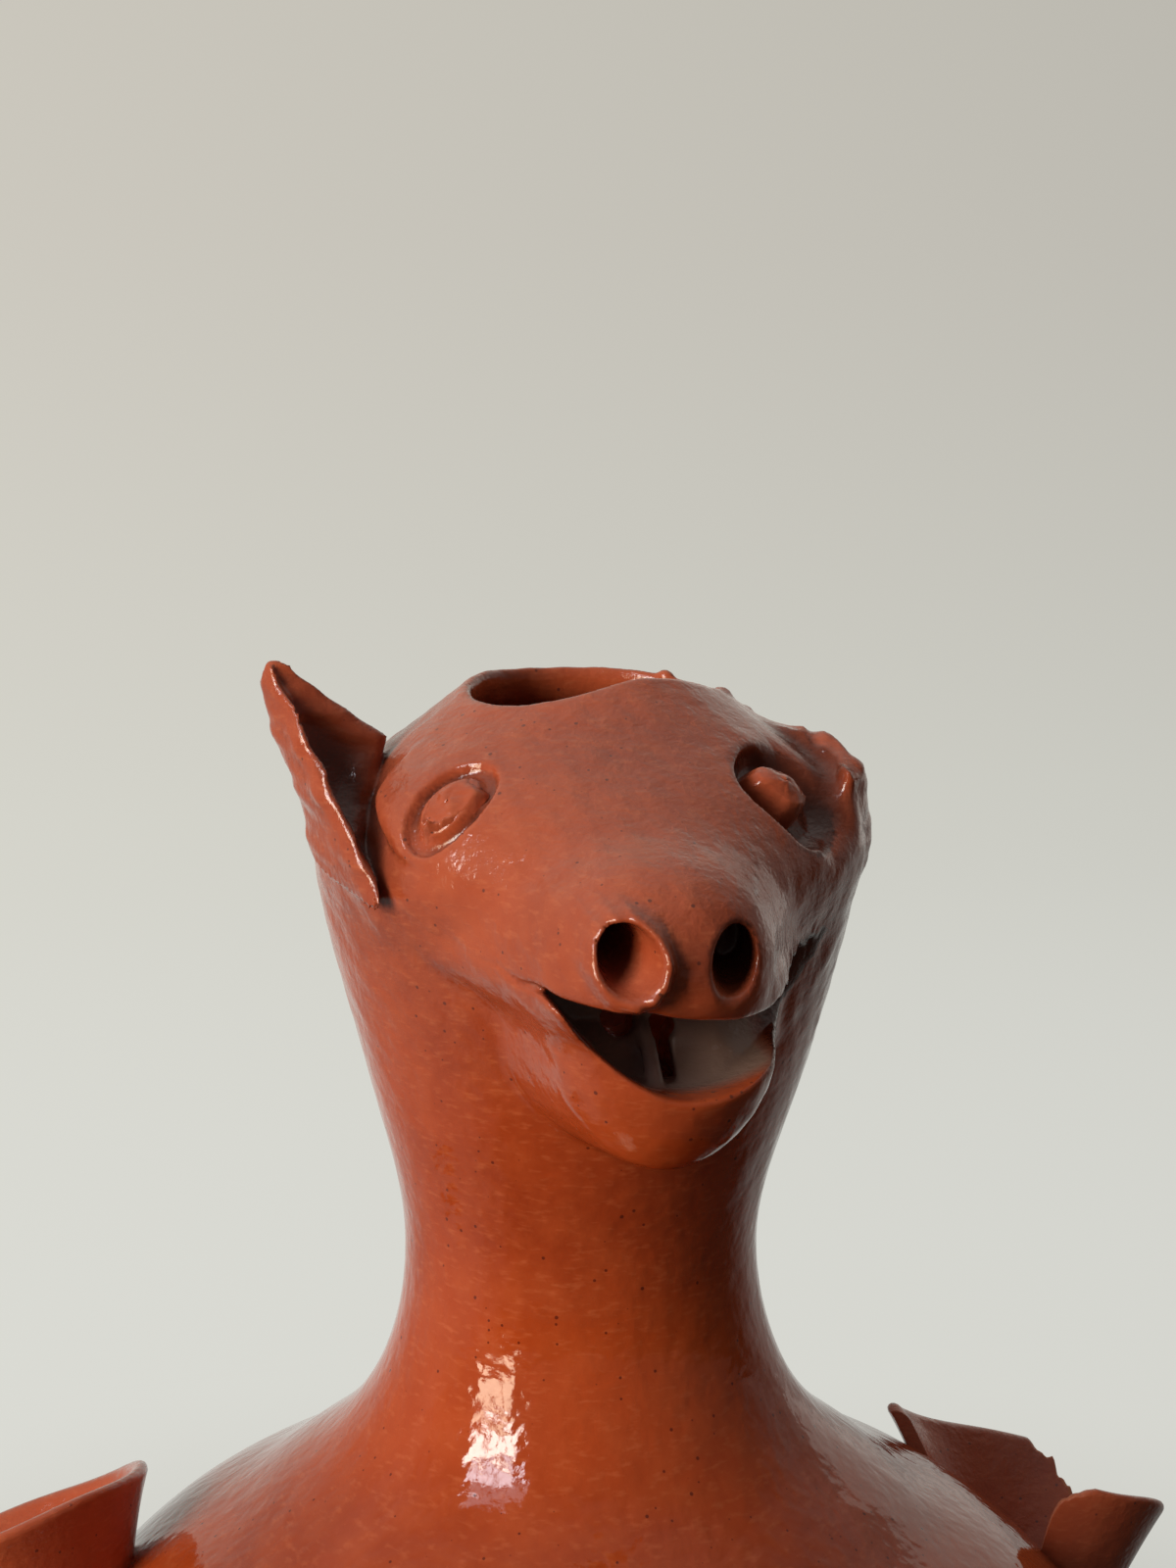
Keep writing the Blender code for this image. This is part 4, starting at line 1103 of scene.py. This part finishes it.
def painted_paper():
    """Matt pale paper. Near the jug it takes its shadow; far off it shows an even tint to the camera."""
    material = bpy.data.materials.new("pale_backdrop_paper")
    tree = fresh_tree(material)
    place = add_node(tree, "TexCoord", {}).node.outputs["Object"]
    rise, aside = marks_of(tree, "sheet_rise", "sheet_aside")
    apart = add_node(tree, "SeparateXYZ", {"Vector": place}).node.outputs
    distance = add_node(tree, "VectorMath", {"operation": "LENGTH", 0: place})
    rays = add_node(tree, "LightPath", {}).node.outputs
    camera_ray = rays["Is Camera Ray"]
    tint = add_node(tree, "ValToRGB", {"Fac": rise})
    ramp = tint.node.color_ramp.elements
    for _ in range(len(SHEET_COLOURS) - 2):
        ramp.new(0.5)
    for element, (position, code) in zip(ramp, SHEET_COLOURS.items()):
        element.position = position
        element.color = to_linear(code)
    # Away from the window the sheet is a little darker, and far off it fades into the pale room beyond it
    tint = tinted(tree, aside, tint, to_linear(SHEET_SHADE), "MULTIPLY")
    tint = tinted(tree, ranged(tree, distance, 2.6, 5.0, curve="SMOOTHSTEP"), tint, to_linear(ROOM_PALE))
    # Only the camera sees the sheet pale: to the jug it gives back no more light than a dim room would
    colour = tinted(tree, camera_ray, to_linear(ROOM_COLOUR), tint)
    paper = add_node(tree, "BsdfPrincipled",
                     {"Roughness": 0.9, "Specular IOR Level": 0.1, "Base Color": colour})
    glow = add_node(tree, "Emission", {"Strength": 1.0, "Color": tint})
    seen = reckoned(tree, "MAXIMUM", camera_ray, rays["Is Glossy Ray"])
    seen = reckoned(tree, "MAXIMUM", seen, rays["Is Transmission Ray"])
    share = reckoned(tree, "MULTIPLY", seen, ranged(tree, distance, 0.10, 0.45, 0.45, 1.0, "SMOOTHSTEP"))
    # Seen in the glaze, the floor in front and on the right stays as dim as the room, and the sheet's far
    # left and right are half as bright as its middle
    toward = add_node(tree, "Math", {"operation": "MULTIPLY_ADD", 0: apart["X"], 1: -0.35, 2: apart["Y"]})
    behind = ranged(tree, reckoned(tree, "DIVIDE", toward, distance), -0.25, 0.25)
    sideways = add_node(tree, "Math", {"operation": "ABSOLUTE", 0: apart["X"]})
    sideways = ranged(tree, reckoned(tree, "DIVIDE", sideways, distance), 0.3, 0.7, 1.0, 0.45)
    shown = reckoned(tree, "MAXIMUM", camera_ray, reckoned(tree, "MULTIPLY", behind, sideways))
    share = reckoned(tree, "MULTIPLY", share, shown)
    mixed = add_node(tree, "MixShader", {0: share, 1: paper, 2: glow})
    add_node(tree, "OutputMaterial", {"Surface": mixed})
    return material


def facing_jug(distance, aside, turn, height):
    """A place in front of the jug, turned round it to the left and moved aside."""
    return (-distance * math.sin(turn) + aside * math.cos(turn),
            -distance * math.cos(turn) - aside * math.sin(turn), height)


def area_light(name, width, height, colour, brightness, place, tilt, turn):
    """A lit rectangle, as bright as given beside white paper."""
    lamp = bpy.data.lights.new(name, "AREA")
    lamp.shape = "RECTANGLE"
    lamp.size = width
    lamp.size_y = height
    lamp.energy = brightness * math.pi * width * height
    lamp.color = to_linear(colour)[:3]
    light = bpy.data.objects.new(name, lamp)
    light.location = place
    light.rotation_euler = (math.radians(tilt), 0, turn)
    bpy.context.scene.collection.objects.link(light)
    return light


backdrop(painted_paper())

WINDOW_TURN = math.radians(60)
WINDOW_DISTANCE = 1.2
WINDOW_WIDTH = 0.52
WINDOW_LOW = 0.24
WINDOW_BAR = 0.04
PANE_HEIGHT = 0.30
PANE_COLUMNS = 2
# From the sill up: garden, hedge and sky, by colour and by how bright each is beside white paper
PANE_LIGHTS = [("FFE9C8", 11.5), ("FFF6EA", 20.0), ("F3F6FF", 11.5), ("EFF4FF", 2.0)]
pane_width = (WINDOW_WIDTH - WINDOW_BAR * (PANE_COLUMNS - 1)) / PANE_COLUMNS
for column in range(PANE_COLUMNS):
    for row, (colour, brightness) in enumerate(PANE_LIGHTS):
        aside = (column - (PANE_COLUMNS - 1) / 2) * (pane_width + WINDOW_BAR)
        height = WINDOW_LOW + PANE_HEIGHT / 2 + row * (PANE_HEIGHT + WINDOW_BAR)
        area_light("window_pane", pane_width, PANE_HEIGHT, colour, brightness,
                   facing_jug(WINDOW_DISTANCE, aside, WINDOW_TURN, height), 90, -WINDOW_TURN)

# A pale wall far behind on the right shows in the glaze, and light thrown back from the room beside it
# gives the side away from the window a little colour but no gleam
WALL_LIGHT_SIZE = 1.3
WALL_LIGHT_COLOUR = "FBF4EA"
for name, brightness, place, turn, gleams in [("far_wall", 0.35, (1.0, 1.35, 0.6), 143.5, True),
                                              ("room_bounce", 0.8, (1.5, 0.8, 0.5), 118.0, False)]:
    wall_light = area_light(name, WALL_LIGHT_SIZE, WALL_LIGHT_SIZE, WALL_LIGHT_COLOUR, brightness, place, 80,
                            math.radians(turn))
    wall_light.visible_glossy = gleams

# The room: brighter behind the jug, with a little from the ceiling and from the left wall. To the camera the
# room beyond the sheet is as pale as the sheet
world = bpy.data.worlds.new("dim_room")
bpy.context.scene.world = world
tree = fresh_tree(world)
apart = add_node(tree, "SeparateXYZ", {"Vector": add_node(tree, "TexCoord", {})}).node.outputs
light = reckoned(tree, "ADD", ranged(tree, apart["Y"], -0.05, 0.6, 0.09, 0.5),
                 ranged(tree, apart["Z"], 0.75, 0.95, 0.0, 0.2))
light = reckoned(tree, "ADD", light, ranged(tree, apart["X"], -0.3, -1.0, 0.0, 0.10))
room = add_node(tree, "Background", {"Color": to_linear(ROOM_LIGHT), "Strength": light})
pale = add_node(tree, "Background", {"Color": to_linear(ROOM_PALE), "Strength": 1.0})
shown = add_node(tree, "MixShader", {0: add_node(tree, "LightPath", {}), 1: room, 2: pale})
add_node(tree, "OutputWorld", {"Surface": shown})

CAMERA_TURN = math.radians(12)
CAMERA_DISTANCE = 0.396
CAMERA_HEIGHT = 0.3357
CAMERA_ASIDE = 0.00133
CAMERA_PITCH = math.radians(82)
camera_data = bpy.data.cameras.new("photograph")
camera_data.lens = 54
camera_data.sensor_width = 36
camera_data.clip_start = 0.01
camera = bpy.data.objects.new("photograph", camera_data)
camera.location = facing_jug(CAMERA_DISTANCE, CAMERA_ASIDE, CAMERA_TURN, CAMERA_HEIGHT)
camera.rotation_euler = (CAMERA_PITCH, 0, -CAMERA_TURN)
bpy.context.scene.collection.objects.link(camera)
bpy.context.scene.camera = camera
bpy.context.scene.view_settings.view_transform = "Standard"
